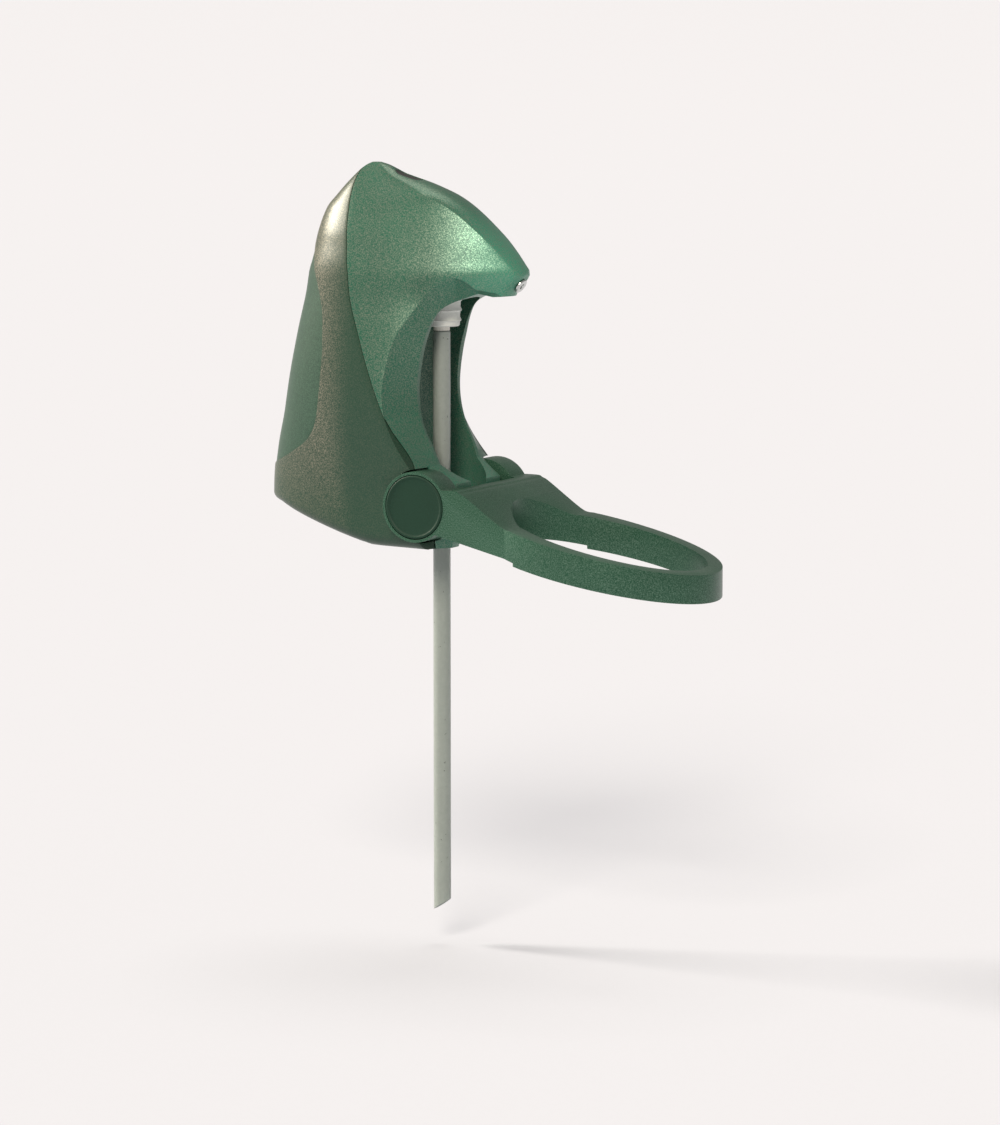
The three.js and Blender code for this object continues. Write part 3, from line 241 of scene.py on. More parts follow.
def bake(thing: bpy.types.Object) -> None:
    """Applies an object's modifiers to its mesh."""
    graph = bpy.context.evaluated_depsgraph_get()
    mesh = bpy.data.meshes.new_from_object(thing.evaluated_get(graph))
    thing.modifiers.clear()
    thing.data = mesh


def soften(thing: bpy.types.Object, width: float, angle: float = 32.0, segments: int = 3) -> None:
    """Rounds the sharp edges of a moulded piece.

    Args:
        thing: The piece, still in millimetres.
        width: Width of the rounding.
        angle: Least angle between two faces, in degrees, for an edge to be rounded.
        segments: Facets across the rounding.
    """
    shape = bmesh.new()
    shape.from_mesh(thing.data)
    bmesh.ops.remove_doubles(shape, verts=shape.verts, dist=CUT_WELD)
    bmesh.ops.dissolve_degenerate(shape, edges=shape.edges, dist=CUT_SLIVER)
    shape.to_mesh(thing.data)
    shape.free()
    modifier = thing.modifiers.new("edge", "BEVEL")
    modifier.width, modifier.segments = width, segments
    modifier.limit_method, modifier.angle_limit = "ANGLE", math.radians(angle)
    modifier.miter_outer = "MITER_ARC"
    bake(thing)


def shade(thing: bpy.types.Object, angle: float) -> None:
    """Shades smooth, with edges over an angle left sharp.

    Args:
        thing: The piece.
        angle: The angle in degrees.
    """
    shape = bmesh.new()
    shape.from_mesh(thing.data)
    for face in shape.faces:
        face.smooth = True
    for edge in shape.edges:
        edge.smooth = not (edge.is_manifold and edge.calc_face_angle(0.0) > math.radians(angle))
    shape.to_mesh(thing.data)
    shape.free()


def smooth_value(stations: Sequence[float], values: Sequence[float], at: float) -> float:
    """A smooth value through stations, without overshoot.

    Args:
        stations: Rising positions.
        values: The value at each.
        at: Where the value is wanted.

    Returns:
        The value there.
    """
    i = 0
    while i < len(stations) - 2 and at > stations[i + 1]:
        i += 1

    def slope(k: int) -> float:
        """Slope of one step."""
        return (values[k + 1] - values[k]) / (stations[k + 1] - stations[k])

    def end(k: int) -> float:
        """Slope at a station."""
        if k == 0:
            return slope(0)
        if k == len(stations) - 1:
            return slope(k - 1)
        a, b = slope(k - 1), slope(k)
        return 0.0 if a * b <= 0 else 2 * a * b / (a + b)

    run = stations[i + 1] - stations[i]
    t = min(1.0, max(0.0, (at - stations[i]) / run))
    t2, t3 = t * t, t * t * t
    return ((2 * t3 - 3 * t2 + 1) * values[i] + (t3 - 2 * t2 + t) * run * end(i)
            + (3 * t2 - 2 * t3) * values[i + 1] + (t3 - t2) * run * end(i + 1))


def curve_points(p0: Point2, p1: Point2, p2: Point2, p3: Point2, count: int) -> np.ndarray:
    """Points of a cubic curve, leaving out its last one."""
    t = (np.arange(count) / count)[:, None]
    a, b, c, d = (np.array(p, dtype=float) for p in (p0, p1, p2, p3))
    return (1 - t) ** 3 * a + 3 * (1 - t) ** 2 * t * b + 3 * (1 - t) * t * t * c + t ** 3 * d


def through(points: Sequence[Sequence[float]], steps: int, closed: bool = True) -> np.ndarray:
    """A smooth line through points.

    Args:
        points: The points, of any number of axes.
        steps: Points on each stretch.
        closed: Whether the line joins its start.

    Returns:
        The points of the line.
    """
    given = np.array(points, dtype=float)
    count = len(given)
    stretches = count if closed else count - 1
    line = []
    for i in range(stretches):
        take = [given[(i + k) % count] if closed else given[min(count - 1, max(0, i + k))]
                for k in (-1, 0, 1, 2)]
        for s in range(steps):
            t = s / steps
            line.append(0.5 * (2 * take[1] + (take[2] - take[0]) * t
                               + (2 * take[0] - 5 * take[1] + 4 * take[2] - take[3]) * t * t
                               + (3 * take[1] - take[0] - 3 * take[2] + take[3]) * t ** 3))
    if not closed:
        line.append(given[-1])
    return np.array(line)


# Finishes: the size of the slow patches, the grain's fineness and limits, the swing of the roughness and
# the strength of the relief.
PATCH_SIZE = 28.0
NOISE_DETAIL = 2.0
GRAIN_FINENESS = 0.7
GRAIN_FROM, GRAIN_TO = 0.42, 0.68
ROUGH_SWING = 0.06
RELIEF = 0.5


def linear(code: str) -> tuple[float, float, float, float]:
    """Turns an sRGB hex value into linear colour."""
    values = [int(code[i:i + 2], 16) / 255 for i in (0, 2, 4)]
    low = [v / 12.92 if v <= 0.04045 else ((v + 0.055) / 1.055) ** 2.4 for v in values]
    return (low[0], low[1], low[2], 1.0)


def add(tree: bpy.types.NodeTree, kind: str, settings: Optional[dict] = None,
        links: Optional[dict] = None) -> bpy.types.Node:
    """Adds a node with its settings and links.

    Args:
        tree: The tree that gets the node.
        kind: The node's type name.
        settings: Attributes by name, or input values by socket name or number.
        links: Output sockets by the input that each one feeds.

    Returns:
        The new node.
    """
    node = tree.nodes.new(kind)
    for key, value in (settings or {}).items():
        if isinstance(key, str) and hasattr(node, key):
            setattr(node, key, value)
        else:
            node.inputs[key].default_value = value
    for key, output in (links or {}).items():
        tree.links.new(output, node.inputs[key])
    return node


@dataclass(frozen=True)
class Speckled:
    """A moulded or painted surface with a grain of two colours.

    The base colour covers most of it. The grain is a finer second colour, as metal flakes in a paint, filler
    in a plastic or fine lines in drawn metal give, and a slow third tone keeps a large face from looking flat.
    Real flakes, fillers and lines are 0.02 to 0.1 mm across, too fine to show in the picture, so the grain size,
    in millimetres, is drawn as coarse as it needs to show: 0.3 or more.
    """

    name: str
    base: str
    grain: str
    grain_size: float = 0.9
    grain_share: float = 0.3
    slow: Optional[str] = None
    roughness: float = 0.5
    metallic: float = 0.0
    bump: float = 0.02
    stretch: tuple[float, float, float] = (1.0, 1.0, 1.0)
    sheen: float = 0.5
    clear: float = 0.0
    flakes: float = 0.0

    def colour(self, tree: bpy.types.NodeTree, place: bpy.types.Node) -> bpy.types.NodeSocket:
        """The slow tone under the grain.

        Args:
            tree: The material's tree.
            place: The node that gives coordinates.

        Returns:
            The colour socket.
        """
        patch = add(tree, "ShaderNodeTexNoise", {"Scale": 1 / (PATCH_SIZE * MM), "Detail": NOISE_DETAIL},
                    {"Vector": place.outputs["Vector"]})
        mix = add(tree, "ShaderNodeMix", {"data_type": "RGBA", 6: linear(self.base),
                                          7: linear(self.slow or self.base)}, {0: patch.outputs["Fac"]})
        return mix.outputs[2]

    def spread(self, tree: bpy.types.NodeTree, place: bpy.types.Node,
               spots: bpy.types.Node) -> bpy.types.NodeSocket:
        """How much grain each place has: the same all over."""
        return spots.outputs["Result"]

    def build(self) -> bpy.types.Material:
        """Makes the material.

        Returns:
            The finished material.
        """
        material = bpy.data.materials.new(self.name)
        material.use_nodes = True
        tree = material.node_tree
        shader = tree.nodes["Principled BSDF"]
        where = add(tree, "ShaderNodeTexCoord")
        place = add(tree, "ShaderNodeMapping", {"Scale": self.stretch}, {"Vector": where.outputs["Object"]})
        grain = {"Scale": 1 / (self.grain_size * MM), "Detail": NOISE_DETAIL, "Roughness": GRAIN_FINENESS}
        fine = add(tree, "ShaderNodeTexNoise", grain, {"Vector": place.outputs["Vector"]})
        spots = add(tree, "ShaderNodeMapRange", {"From Min": GRAIN_FROM, "From Max": GRAIN_TO},
                    {"Value": fine.outputs["Fac"]})
        spread = self.spread(tree, place, spots)
        share = add(tree, "ShaderNodeMath", {"operation": "MULTIPLY", 1: self.grain_share}, {0: spread})
        mix = add(tree, "ShaderNodeMix", {"data_type": "RGBA", 7: linear(self.grain)},
                  {0: share.outputs[0], 6: self.colour(tree, place)})
        tree.links.new(mix.outputs[2], shader.inputs["Base Color"])
        rough = add(tree, "ShaderNodeMapRange", {"To Min": self.roughness - ROUGH_SWING,
                                                 "To Max": self.roughness + ROUGH_SWING},
                    {"Value": fine.outputs["Fac"]})
        tree.links.new(rough.outputs["Result"], shader.inputs["Roughness"])
        if self.bump > 0:
            height = add(tree, "ShaderNodeBump", {"Strength": RELIEF, "Distance": self.bump * MM},
                         {"Height": fine.outputs["Fac"]})
            tree.links.new(height.outputs["Normal"], shader.inputs["Normal"])
        if self.flakes:
            bright = add(tree, "ShaderNodeMath", {"operation": "MULTIPLY", 1: self.flakes}, {0: spread})
            tree.links.new(bright.outputs[0], shader.inputs["Metallic"])
        else:
            shader.inputs["Metallic"].default_value = self.metallic
        shader.inputs["Specular IOR Level"].default_value = self.sheen
        shader.inputs["Transmission Weight"].default_value = self.clear
        return material


@dataclass(frozen=True)
class PaintedLightFlake(Speckled):
    """A flake paint whose tone changes up the body and towards its front edge, as painted light and shade: paler
    where the head is lit, darker where it lies in shade.
    """

    low: str = "24402f"
    low_from: float = -60.0
    low_to: float = -108.0
    front: str = "3c5f49"
    front_from: float = -26.0
    front_to: float = 6.0
    bare: float = 1.0

    def spans(self, tree: bpy.types.NodeTree, place: bpy.types.Node) -> list[bpy.types.NodeSocket]:
        """How far down the body and how far towards its front edge each place lies, from 0 to 1."""
        axes = add(tree, "ShaderNodeSeparateXYZ", links={0: place.outputs["Vector"]})
        return [add(tree, "ShaderNodeMapRange", {"From Min": start * MM, "From Max": end * MM,
                                                 "interpolation_type": "SMOOTHSTEP"},
                    {"Value": axes.outputs[axis]}).outputs["Result"]
                for axis, start, end in (("Z", self.low_from, self.low_to),
                                         ("X", self.front_from, self.front_to))]

    def colour(self, tree: bpy.types.NodeTree, place: bpy.types.Node) -> bpy.types.NodeSocket:
        """The painted light and shade tones up and along the body.

        Args:
            tree: The material's tree.
            place: The node that gives coordinates.

        Returns:
            The colour socket.
        """
        tone = super().colour(tree, place)
        for share, code in zip(self.spans(tree, place), (self.low, self.front)):
            blend = add(tree, "ShaderNodeMix", {"data_type": "RGBA", 7: linear(code)}, {0: share, 6: tone})
            tone = blend.outputs[2]
        return tone

    def spread(self, tree: bpy.types.NodeTree, place: bpy.types.Node,
               spots: bpy.types.Node) -> bpy.types.NodeSocket:
        """How much grain each place has: less of it where the paint runs to its low or front tone, which dims
        the flakes there as further painted shade.
        """
        down, ahead = self.spans(tree, place)
        most = add(tree, "ShaderNodeMath", {"operation": "MAXIMUM"}, {0: down, 1: ahead})
        left = add(tree, "ShaderNodeMapRange", {"To Min": 1.0, "To Max": self.bare},
                   {"Value": most.outputs[0]})
        both = add(tree, "ShaderNodeMath", {"operation": "MULTIPLY"},
                   {0: left.outputs["Result"], 1: spots.outputs["Result"]})
        return both.outputs[0]


# Satin green paint on moulded ABS with metal flakes, which turn it grey-green where they catch the light. Its
# paler tones low down and towards the nose are painted light.
GREEN_PAINT = PaintedLightFlake("satin_green_flake_paint_on_ABS", "125c45", "c9c6b8", 0.55, 0.28, "0e4737", 0.36, 0.0,
                      0.012, sheen=0.4, flakes=0.85, low="235f4c", low_from=-20, low_to=-95, front="358068",
                      front_from=0, front_to=40)
# The same green paint on the rear casing, with a bronze-grey base and warm flakes that are a painted warm sheen
# of the light from the rear left; the darker green at the skirt and towards the front edge is painted shade.
PAINTED_SHEEN_PAINT = PaintedLightFlake("satin_bronze_flake_paint_on_ABS", "2a3c32", "c2b8a5", 0.55, 0.5, "243528", 0.36, 0.0,
                       0.012, sheen=0.35, flakes=0.6, low="1d3a2b", low_from=-30, low_to=-130, front="123626",
                       front_from=-58, front_to=-28, bare=0.1)
# Smooth satin paint of the battery cover.
PANEL_PAINT = Speckled("smooth_satin_green_paint_on_ABS", "183b29", "6c917a", 0.5, 0.3, "143325", 0.42, 0.0,
                       0.006, flakes=0.35)
# Satin green paint of the glass ring, with a finer flake.
RING_PAINT = Speckled("satin_green_paint_on_ring_ABS", "1a4834", "92b39f", 0.5, 0.35, "143c2b", 0.34, 0.0,
                      0.01, sheen=0.25, flakes=0.75)
# Matt green moulding of the knob faces.
KNOB_PLASTIC = Speckled("matt_green_moulded_ABS", "103425", "20463a", 0.5, 0.2, "0c281b", 0.55, 0.0, 0.01,
                        sheen=0.25)
# Dark matt plastic of the underside, with a coarse moulded texture.
DARK_PLASTIC = Speckled("dark_textured_polypropylene", "222b26", "3a4640", 0.7, 0.3, "1c2420", 0.6, 0.0, 0.03)
# Black rubber-like button with a fine moulded grain.
BUTTON_BLACK = Speckled("black_moulded_TPE", "141615", "2b2e2c", 0.5, 0.3, None, 0.55, 0.0, 0.02)
# Polished stainless steel of the spout.
SPOUT_STEEL = Speckled("polished_stainless_steel", "c9ccca", "aeb2b0", 0.4, 0.35, None, 0.2, 1.0, 0.0)
# Plain turned steel of pins, shafts and screws, with fine drawn lines.
TURNED_STEEL = Speckled("turned_steel", "9a9d9c", "7f8281", 0.3, 0.4, None, 0.34, 1.0, 0.005, (1.0, 6.0, 1.0))
# Blackened screw steel.
BLACK_STEEL = Speckled("blackened_screw_steel", "34373a", "4b4e50", 0.3, 0.4, None, 0.4, 1.0, 0.005)
# Pale food-grade silicone rubber: soft, slightly dusty.
SILICONE = Speckled("pale_silicone_rubber", "d3d6d2", "e6e8e4", 1.2, 0.3, "cccfca", 0.58, 0.0, 0.01)
# Clear-tinted stiff tube of polypropylene.
TUBE_PLASTIC = Speckled("natural_polypropylene_tube", "b4bdb7", "c6cdc8", 2.0, 0.3, "aab4ae", 0.3, 0.0, 0.004,
                        clear=0.5)
# White moulded acetal of the fitting, pump and idler.
ACETAL = Speckled("natural_moulded_acetal", "dcdad2", "eeece6", 1.0, 0.3, "d2cfc6", 0.4, 0.0, 0.008)
# Black nylon of the tray, motor cap and switch.
NYLON = Speckled("black_glass_filled_nylon", "1c1f1e", "303432", 0.5, 0.35, None, 0.55, 0.0, 0.02)
# Green laminate of the board, with the weave of its glass cloth.
LAMINATE = Speckled("green_board_laminate", "1f5a3a", "2f7350", 0.6, 0.4, None, 0.4, 0.0, 0.005,
                    (1.0, 3.0, 1.0))
# Grey shrink sleeve of a dry cell.
CELL_SLEEVE = Speckled("grey_shrink_sleeve", "6c7477", "848c8f", 1.5, 0.25, None, 0.36, 0.6, 0.0)
# Soft insulation of the two leads.
RED_PVC = Speckled("red_soft_PVC", "9c2622", "b23a34", 0.6, 0.25, None, 0.45, 0.0, 0.004)
BLACK_PVC = Speckled("black_soft_PVC", "1d1d1d", "303030", 0.6, 0.25, None, 0.45, 0.0, 0.004)
# Pale studio paper.
STUDIO_PAPER = Speckled("pale_studio_paper", "c0c4cd", "bec2cb", 3.0, 0.3, None, 0.9, 0.0, 0.0, sheen=0.0)

CAD_FINISHES: dict[Speckled, list[str]] = {
    TURNED_STEEL: ["nozzle_nut", "drive_gear_shaft", "idler_pin", "motor_can", "hinge_pin_right",
                   "hinge_pin_left", "friction_washer_right", "friction_washer_left"],
    SILICONE: ["suction_hose", "outlet_hose"],
    ACETAL: ["stopper_fitting", "pump_body", "pump_cover", "idler_gear"],
    NYLON: ["motor_end_cap", "battery_tray", "tact_switch", "switch_plunger"],
    LAMINATE: ["circuit_board"],
    RED_PVC: ["battery_lead"],
    BLACK_PVC: ["motor_lead"],
}


class Finisher:
    """Turns worked solids into finished pieces, and keeps one material for each finish."""

    def __init__(self) -> None:
        """Starts with no material."""
        self.made: dict[str, bpy.types.Material] = {}

    def material(self, finish: Speckled) -> bpy.types.Material:
        """The material of a finish, made once."""
        if finish.name not in self.made:
            self.made[finish.name] = finish.build()
        return self.made[finish.name]

    def piece(self, thing: bpy.types.Object, finish: Speckled, body: str, slot: str, nodes: Sequence[str],
              angle: float = 30.0) -> bpy.types.Object:
        """Finishes a piece: scales it to metres, shades it, gives it its material, hangs it on its body and
        hides the CAD nodes that it stands for.

        Args:
            thing: The solid, in millimetres.
            finish: Its finish.
            body: The body that it rides on.
            slot: Not used.
            nodes: The CAD nodes that it stands for.
            angle: The angle over which an edge stays sharp.

        Returns:
            The piece, in metres.
        """
        thing.data.transform(Matrix.Scale(MM, 4))
        shade(thing, angle)
        thing.data.materials.clear()
        thing.data.materials.append(self.material(finish))
        for face in thing.data.polygons:
            face.material_index = 0
        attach(thing, body)
        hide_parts(*nodes)
        log.info("%s: %d faces, rides on %s", thing.name, len(thing.data.polygons), body)
        return thing

    def dress_cad(self) -> None:
        """Gives the CAD nodes that stay their materials."""
        for finish, nodes in CAD_FINISHES.items():
            for node in nodes:
                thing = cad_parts[node]
                for slot in thing.material_slots:
                    slot.material = self.material(finish)
                log.info("%s: %s", node, finish.name)


# Form of the casing: height, rear reach, crease x and y, spout edge x and y and front x, as shares of the head.
SECTION_SHARES = np.array([
    [-1.0, 1.005, 0.14, 1.0, 0.26, 0.9, 0.5], [-0.852, 1.0, 0.14, 1.0, 0.26, 0.9, 0.5],
    [-0.696, 0.978, 0.063, 1.0, 0.27, 0.88, 0.5], [-0.522, 0.938, -0.093, 0.971, 0.25, 0.7, 0.55],
    [-0.348, 0.896, -0.205, 0.922, 0.3, 0.52, 0.65], [-0.174, 0.843, -0.297, 0.847, 0.6, 0.32, 0.76],
    [-0.017, 0.788, -0.371, 0.764, 0.76, 0.19, 0.828], [0.14, 0.768, -0.392, 0.72, 0.91, 0.195, 0.985],
    [0.21, 0.752, -0.403, 0.694, 0.84, 0.215, 0.93], [0.365, 0.725, -0.42, 0.62, 0.67, 0.26, 0.762],
    [0.436, 0.714, -0.43, 0.584, 0.573, 0.275, 0.672], [0.64, 0.664, -0.451, 0.442, 0.23, 0.295, 0.38],
    [0.733, 0.61, -0.46, 0.36, -0.01, 0.31, 0.2], [0.82, 0.556, -0.463, 0.278, -0.27, 0.25, -0.05],
    [0.92, 0.485, -0.456, 0.166, -0.56, 0.15, -0.44], [0.98, 0.435, -0.428, 0.08, -0.67, 0.075, -0.61],
    [1.0, 0.412, -0.395, 0.04, -0.73, 0.035, -0.7]])
# Arch opening: inner edge and outer crease, as shares of spout reach, skirt depth and half width.
ARCH_SHARES = [
    [(0.517, -0.011, 0.21), (0.553, 0.009, 0.26)], [(0.389, -0.029, 0.26), (0.45, 0.043, 0.42)],
    [(0.275, -0.048, 0.34), (0.284, 0.057, 0.54)], [(0.179, -0.075, 0.43), (0.112, 0.042, 0.65)],
    [(0.105, -0.123, 0.49), (-0.034, 0.009, 0.73)], [(0.054, -0.177, 0.53), (-0.157, -0.07, 0.81)],
    [(0.011, -0.237, 0.545), (-0.237, -0.165, 0.85)], [(-0.022, -0.316, 0.545), (-0.273, -0.287, 0.9)],
    [(-0.034, -0.394, 0.545), (-0.271, -0.391, 0.93)], [(-0.013, -0.47, 0.545), (-0.219, -0.487, 0.94)],
    [(0.04, -0.539, 0.545), (-0.13, -0.565, 0.96)], [(0.128, -0.609, 0.545), (-0.022, -0.63, 0.97)],
    [(0.2, -0.678, 0.553), (0.116, -0.698, 0.98)], [(0.425, -0.748, 0.553), (0.179, -0.765, 0.98)],
    [(0.447, -0.87, 0.553), (0.179, -0.87, 0.98)], [(0.336, -1.06, 0.553), (0.179, -1.06, 0.98)],
    [(1.6, -1.06, 0.553), (1.6, -1.06, 0.98)], [(1.6, -0.02, 0.18), (1.6, 0.0, 0.24)],
    [(0.81, -0.02, 0.17), (0.83, -0.006, 0.22)], [(0.67, -0.023, 0.18), (0.69, -0.004, 0.24)]]
ARCH_CURVED = 13
# Battery cover's outline from its top to its low end: height, and half width as a share of the body's.
COVER_SHARES = [(0.49, 0.0), (0.44, 0.14), (0.36, 0.29), (0.23, 0.44), (0.06, 0.57), (-0.07, 0.66),
                (-0.17, 0.7), (-0.28, 0.727), (-0.43, 0.727), (-0.545, 0.7), (-0.62, 0.62), (-0.68, 0.45),
                (-0.715, 0.22), (-0.727, 0.0)]
# Neck room's side from below: how far its radius is past the neck's, and height as a share of the skirt.
NECK_LINE = [(2.0, -1.2), (1.2, -0.92), (-0.4, -0.78), (-3.5, -0.22)]


@dataclass(frozen=True)
class SectionCurve:
    """How the curves of the plan section leave and reach their ends, as shares of each stretch."""

    rear_lead: float = 0.55
    rear_bulge: float = 0.62
    rear_flare: float = 0.2
    flare_most: float = 0.3
    side_lead: float = 0.45
    side_turn: float = 0.1
    nose_lead: float = 0.6
    nose_turn: float = 0.62
    band_lead: float = 0.5
    band_turn: float = 0.85
    front_turn: float = 0.5
    edge_inset: float = 0.7


@dataclass
class Casing:
    """The two-part casing with its battery cover and base plate."""

    finisher: Finisher
    head: float = 57.3
    skirt: float = 116.0
    rear: float = 86.0
    nose: float = 44.7
    half: float = 38.5
    wall: float = 2.6
    under_rise: float = 15.5
    rise_start: float = 0.23
    rise_run: float = 0.675
    rise_power: float = 1.2
    rise_end: float = 0.5
    edge_round: float = 6.0
    edge_steps: int = 7
    crown_power: float = 1.15
    coarse: tuple[int, int, int] = (12, 12, 4)
    coarse_levels: int = 36
    cavity_top: float = 0.8
    seam: float = 0.3
    fit: float = 0.12
    neck: float = 21.0
    seat: float = 3.2
    platform: float = 3.0
    platform_inset: float = 2.0
    pocket_gap: float = 0.8
    arch_lead: float = 0.25
    arch_steps: int = 7
    crease_start: float = -1.05
    crease_run: float = 2.02
    crease_steps: int = 72
    crease_top: float = 0.96
    sleeve_walls: int = 4
    sleeve_top: float = 0.3
    plate_front: float = -30.0
    plate_inset: float = 6.2
    plate_level: float = 0.9
    plate_span: tuple[float, float] = (-1.2, -0.8)
    plate_end: float = 0.1
    cover_thick: float = 2.0
    cover_recess: float = 0.55
    cover_reach: tuple[float, float] = (1.3, 0.44)
    beyond: float = 1.2
    edge: float = 0.55
    plate_edge: float = 0.3
    screws: Sequence[tuple[float, float]] = ((-67.94, 10.4), (-67.94, -10.4), (-36.12, 18.87), (-36.12, -18.87))
    screw_head: float = 2.6
    screw_shank: float = 1.3
    screw_sunk: float = 1.7
    screw_deep: float = 11.2
    boss: float = 4.0
    boss_tall: float = 11.0
    boss_rib: float = 1.5
    board_rib: tuple[float, float, float, float] = (-5.4, -0.4, 30.6, 35.3)
    board_rib_inner: float = 7.9
    post: tuple[float, float] = (-29.0, -14.7)
    post_heights: tuple[float, float] = (-77.3, -38.3)
    post_y: float = 9.0
    post_half: float = 3.0
    inside: float = 0.3
    tube_hole: float = 4.1
    rim_holes: tuple[float, float] = (-1.0, 7.2)
    pin_hole: float = 4.12
    pin_span: tuple[float, float] = (10.0, 40.0)
    slot_half: float = 4.0
    slot_rear: float = -22.8
    slot_front: float = -9.4
    slot_steps: int = 16
    slot_gap: float = 0.35
    slot_low: float = 41.6
    slot_high: float = 60.0
    spout_hole: float = 2.42
    spout_span: tuple[float, float] = (-16.0, 3.0)
    spout_face: Sequence[Point2] = ((0.0, 0.0), (20.0, 29.0), (40.0, -40.0), (-20.0, -29.0))
    spout_half: float = 20.0
    curve: SectionCurve = SectionCurve()

    def height(self, share: float) -> float:
        """Height of a share of the head above the rim, or of the skirt below it."""
        return share * (self.head if share > 0 else self.skirt)

    def at(self, column: int, size: float, z: float) -> float:
        """A size of the section at a height."""
        stations = [self.height(s) for s in SECTION_SHARES[:, 0]]
        return smooth_value(stations, list(SECTION_SHARES[:, column] * size), z)

    def section(self, z: float, inset: float, steps: tuple[int, int, int]) -> np.ndarray:
        """The closed plan section of the casing.

        Args:
            z: Height of the section.
            inset: How far it is drawn in.
            steps: Points along the rear, the side and the front band.

        Returns:
            Points in plan.
        """
        rear = self.at(1, -self.rear, z) + inset
        crease = (self.at(2, self.rear, z), self.at(3, self.half, z) - inset)
        c = self.curve
        edge = (max(self.at(4, self.nose, z) - inset, crease[0] + inset / 2),
                self.at(5, self.half, z) - c.edge_inset * inset)
        front = max(self.at(6, self.nose, z) - inset, edge[0] + inset / 2)
        lead, side = c.rear_lead * (crease[0] - rear), c.side_lead * (edge[0] - crease[0])
        flare = min(c.rear_flare * lead, c.flare_most * crease[1])
        half = np.concatenate([
            curve_points((rear, 0), (rear, c.rear_bulge * crease[1]),
                         (crease[0] - lead, crease[1] - flare), crease, steps[0]),
            curve_points(crease, (crease[0] + side, crease[1] - c.side_turn * side),
                         (edge[0] - c.nose_lead * side, edge[1] + c.nose_turn * (crease[1] - edge[1])), edge,
                         steps[1]),
            curve_points(edge, (edge[0] + c.band_lead * (front - edge[0]), c.band_turn * edge[1]),
                         (front, c.front_turn * edge[1]), (front, 0), steps[2]), np.array([[front, 0.0]])])
        return np.concatenate([half, half[1:-1][::-1] * (1, -1)])

    def rise(self, x: float) -> float:
        """How much the underside is lifted at a place along the body."""
        share = (-self.rise_start * self.rear - x) / (self.rise_run * self.rear)
        return self.under_rise * min(1.0, max(0.0, share)) ** self.rise_power

    def form(self, name: str, inset: float, steps: tuple[int, int, int] = (22, 20, 8), levels: int = 84,
             top: float = 1.0) -> bpy.types.Object:
        """The casing's solid form.

        Args:
            name: The object's name.
            inset: How far it is drawn in.
            steps: Points along the rear, the side and the front band.
            levels: Number of heights above the lower edge's rounding.
            top: The highest height share.

        Returns:
            The solid.
        """
        low, lift_end = -self.skirt + inset, -self.rise_end * self.skirt
        edge = max(self.edge_round - inset, 1.0)
        turns = [i / self.edge_steps * math.pi / 2 for i in range(self.edge_steps + 1)]
        stops = [(low + edge * (1 - math.cos(t)), inset + edge * (1 - math.sin(t))) for t in turns]
        start = low + edge
        for share in np.linspace(0, 1, levels + 1)[1:]:
            up = math.sin(share * math.pi / 2) ** self.crown_power if top == 1.0 else share
            stops.append((start + (self.head * top - start) * up, inset))
        rings = []
        for z, drawn in stops:
            share = min(1.0, max(0.0, (lift_end - z) / (lift_end - low)))
            rings.append(np.array([(x, y, z + share * self.rise(x))
                                   for x, y in self.section(z, drawn, steps)]))
        return loft(name, rings)

    def arch(self, name: str, push: Point3 = (0, 0, 0)) -> bpy.types.Object:
        """The arch opening as a solid, pushed by some distance."""
        size = np.array([self.nose, self.skirt, self.half])
        pairs = np.array([[np.array(inner) * size, np.array(outer) * size] for inner, outer in ARCH_SHARES])
        flat = pairs.reshape(len(pairs), 6)
        line = np.concatenate([through(flat[:ARCH_CURVED], self.arch_steps, closed=False), flat[ARCH_CURVED:]])
        inner, outer = line[:, :3], line[:, 3:]
        far = outer + self.arch_lead * (outer - inner)
        rings = []
        for points, sign, reach in ((far, -1, OVERRUN), (outer, -1, None), (inner, -1, None), (inner, 1, None),
                                    (outer, 1, None), (far, 1, OVERRUN)):
            rings.append(np.array([(x + push[0], sign * (reach or y) + push[1], z + push[2])
                                   for x, z, y in points]))
        return loft(name, rings)

    def neck_room(self, name: str, grow: float) -> bpy.types.Object:
        """The bottle's room under the head, grown by an amount."""
        side = [(self.neck + grow + more, share * self.skirt) for more, share in NECK_LINE]
        top = self.seat + grow
        return lathe(name, [(0, side[0][1]), *side, (side[-1][0], top), (0, top)])

    def pocket(self, name: str, side: Side, grow: float) -> bpy.types.Object:
        """The room of a hinge drum beside the casing, grown by an amount."""
        x, z = HINGE
        start = side.value * (DRUM_INNER - self.seam - grow)
        return rod(name, (x, start, z), (x, side.value * OVERRUN, z), DRUM_RADIUS + self.pocket_gap + grow, 96)

    def rear_region(self, name: str, shift: float) -> bpy.types.Object:
        """What lies behind the crease, apart from the sleeve round the neck."""
        stops = [self.height(self.crease_start + i * self.crease_run / self.crease_steps)
                 for i in range(self.crease_steps + 1)]
        line = [(self.at(2, self.rear, min(z, self.crease_top * self.head)) + shift, z) for z in stops]
        back = -self.beyond * self.rear
        region = prism(name, [(back, stops[0]), *line, (back, stops[-1])], Axis.Y, -OVERRUN, OVERRUN)
        rear = -(self.neck + self.sleeve_walls * self.wall) + shift
        sleeve = block("sleeve", (rear, -DRUM_INNER + shift, -self.beyond * self.skirt),
                       (OVERRUN, DRUM_INNER - shift, self.sleeve_top * self.head))
        return work(region, sleeve, Cut.AWAY)

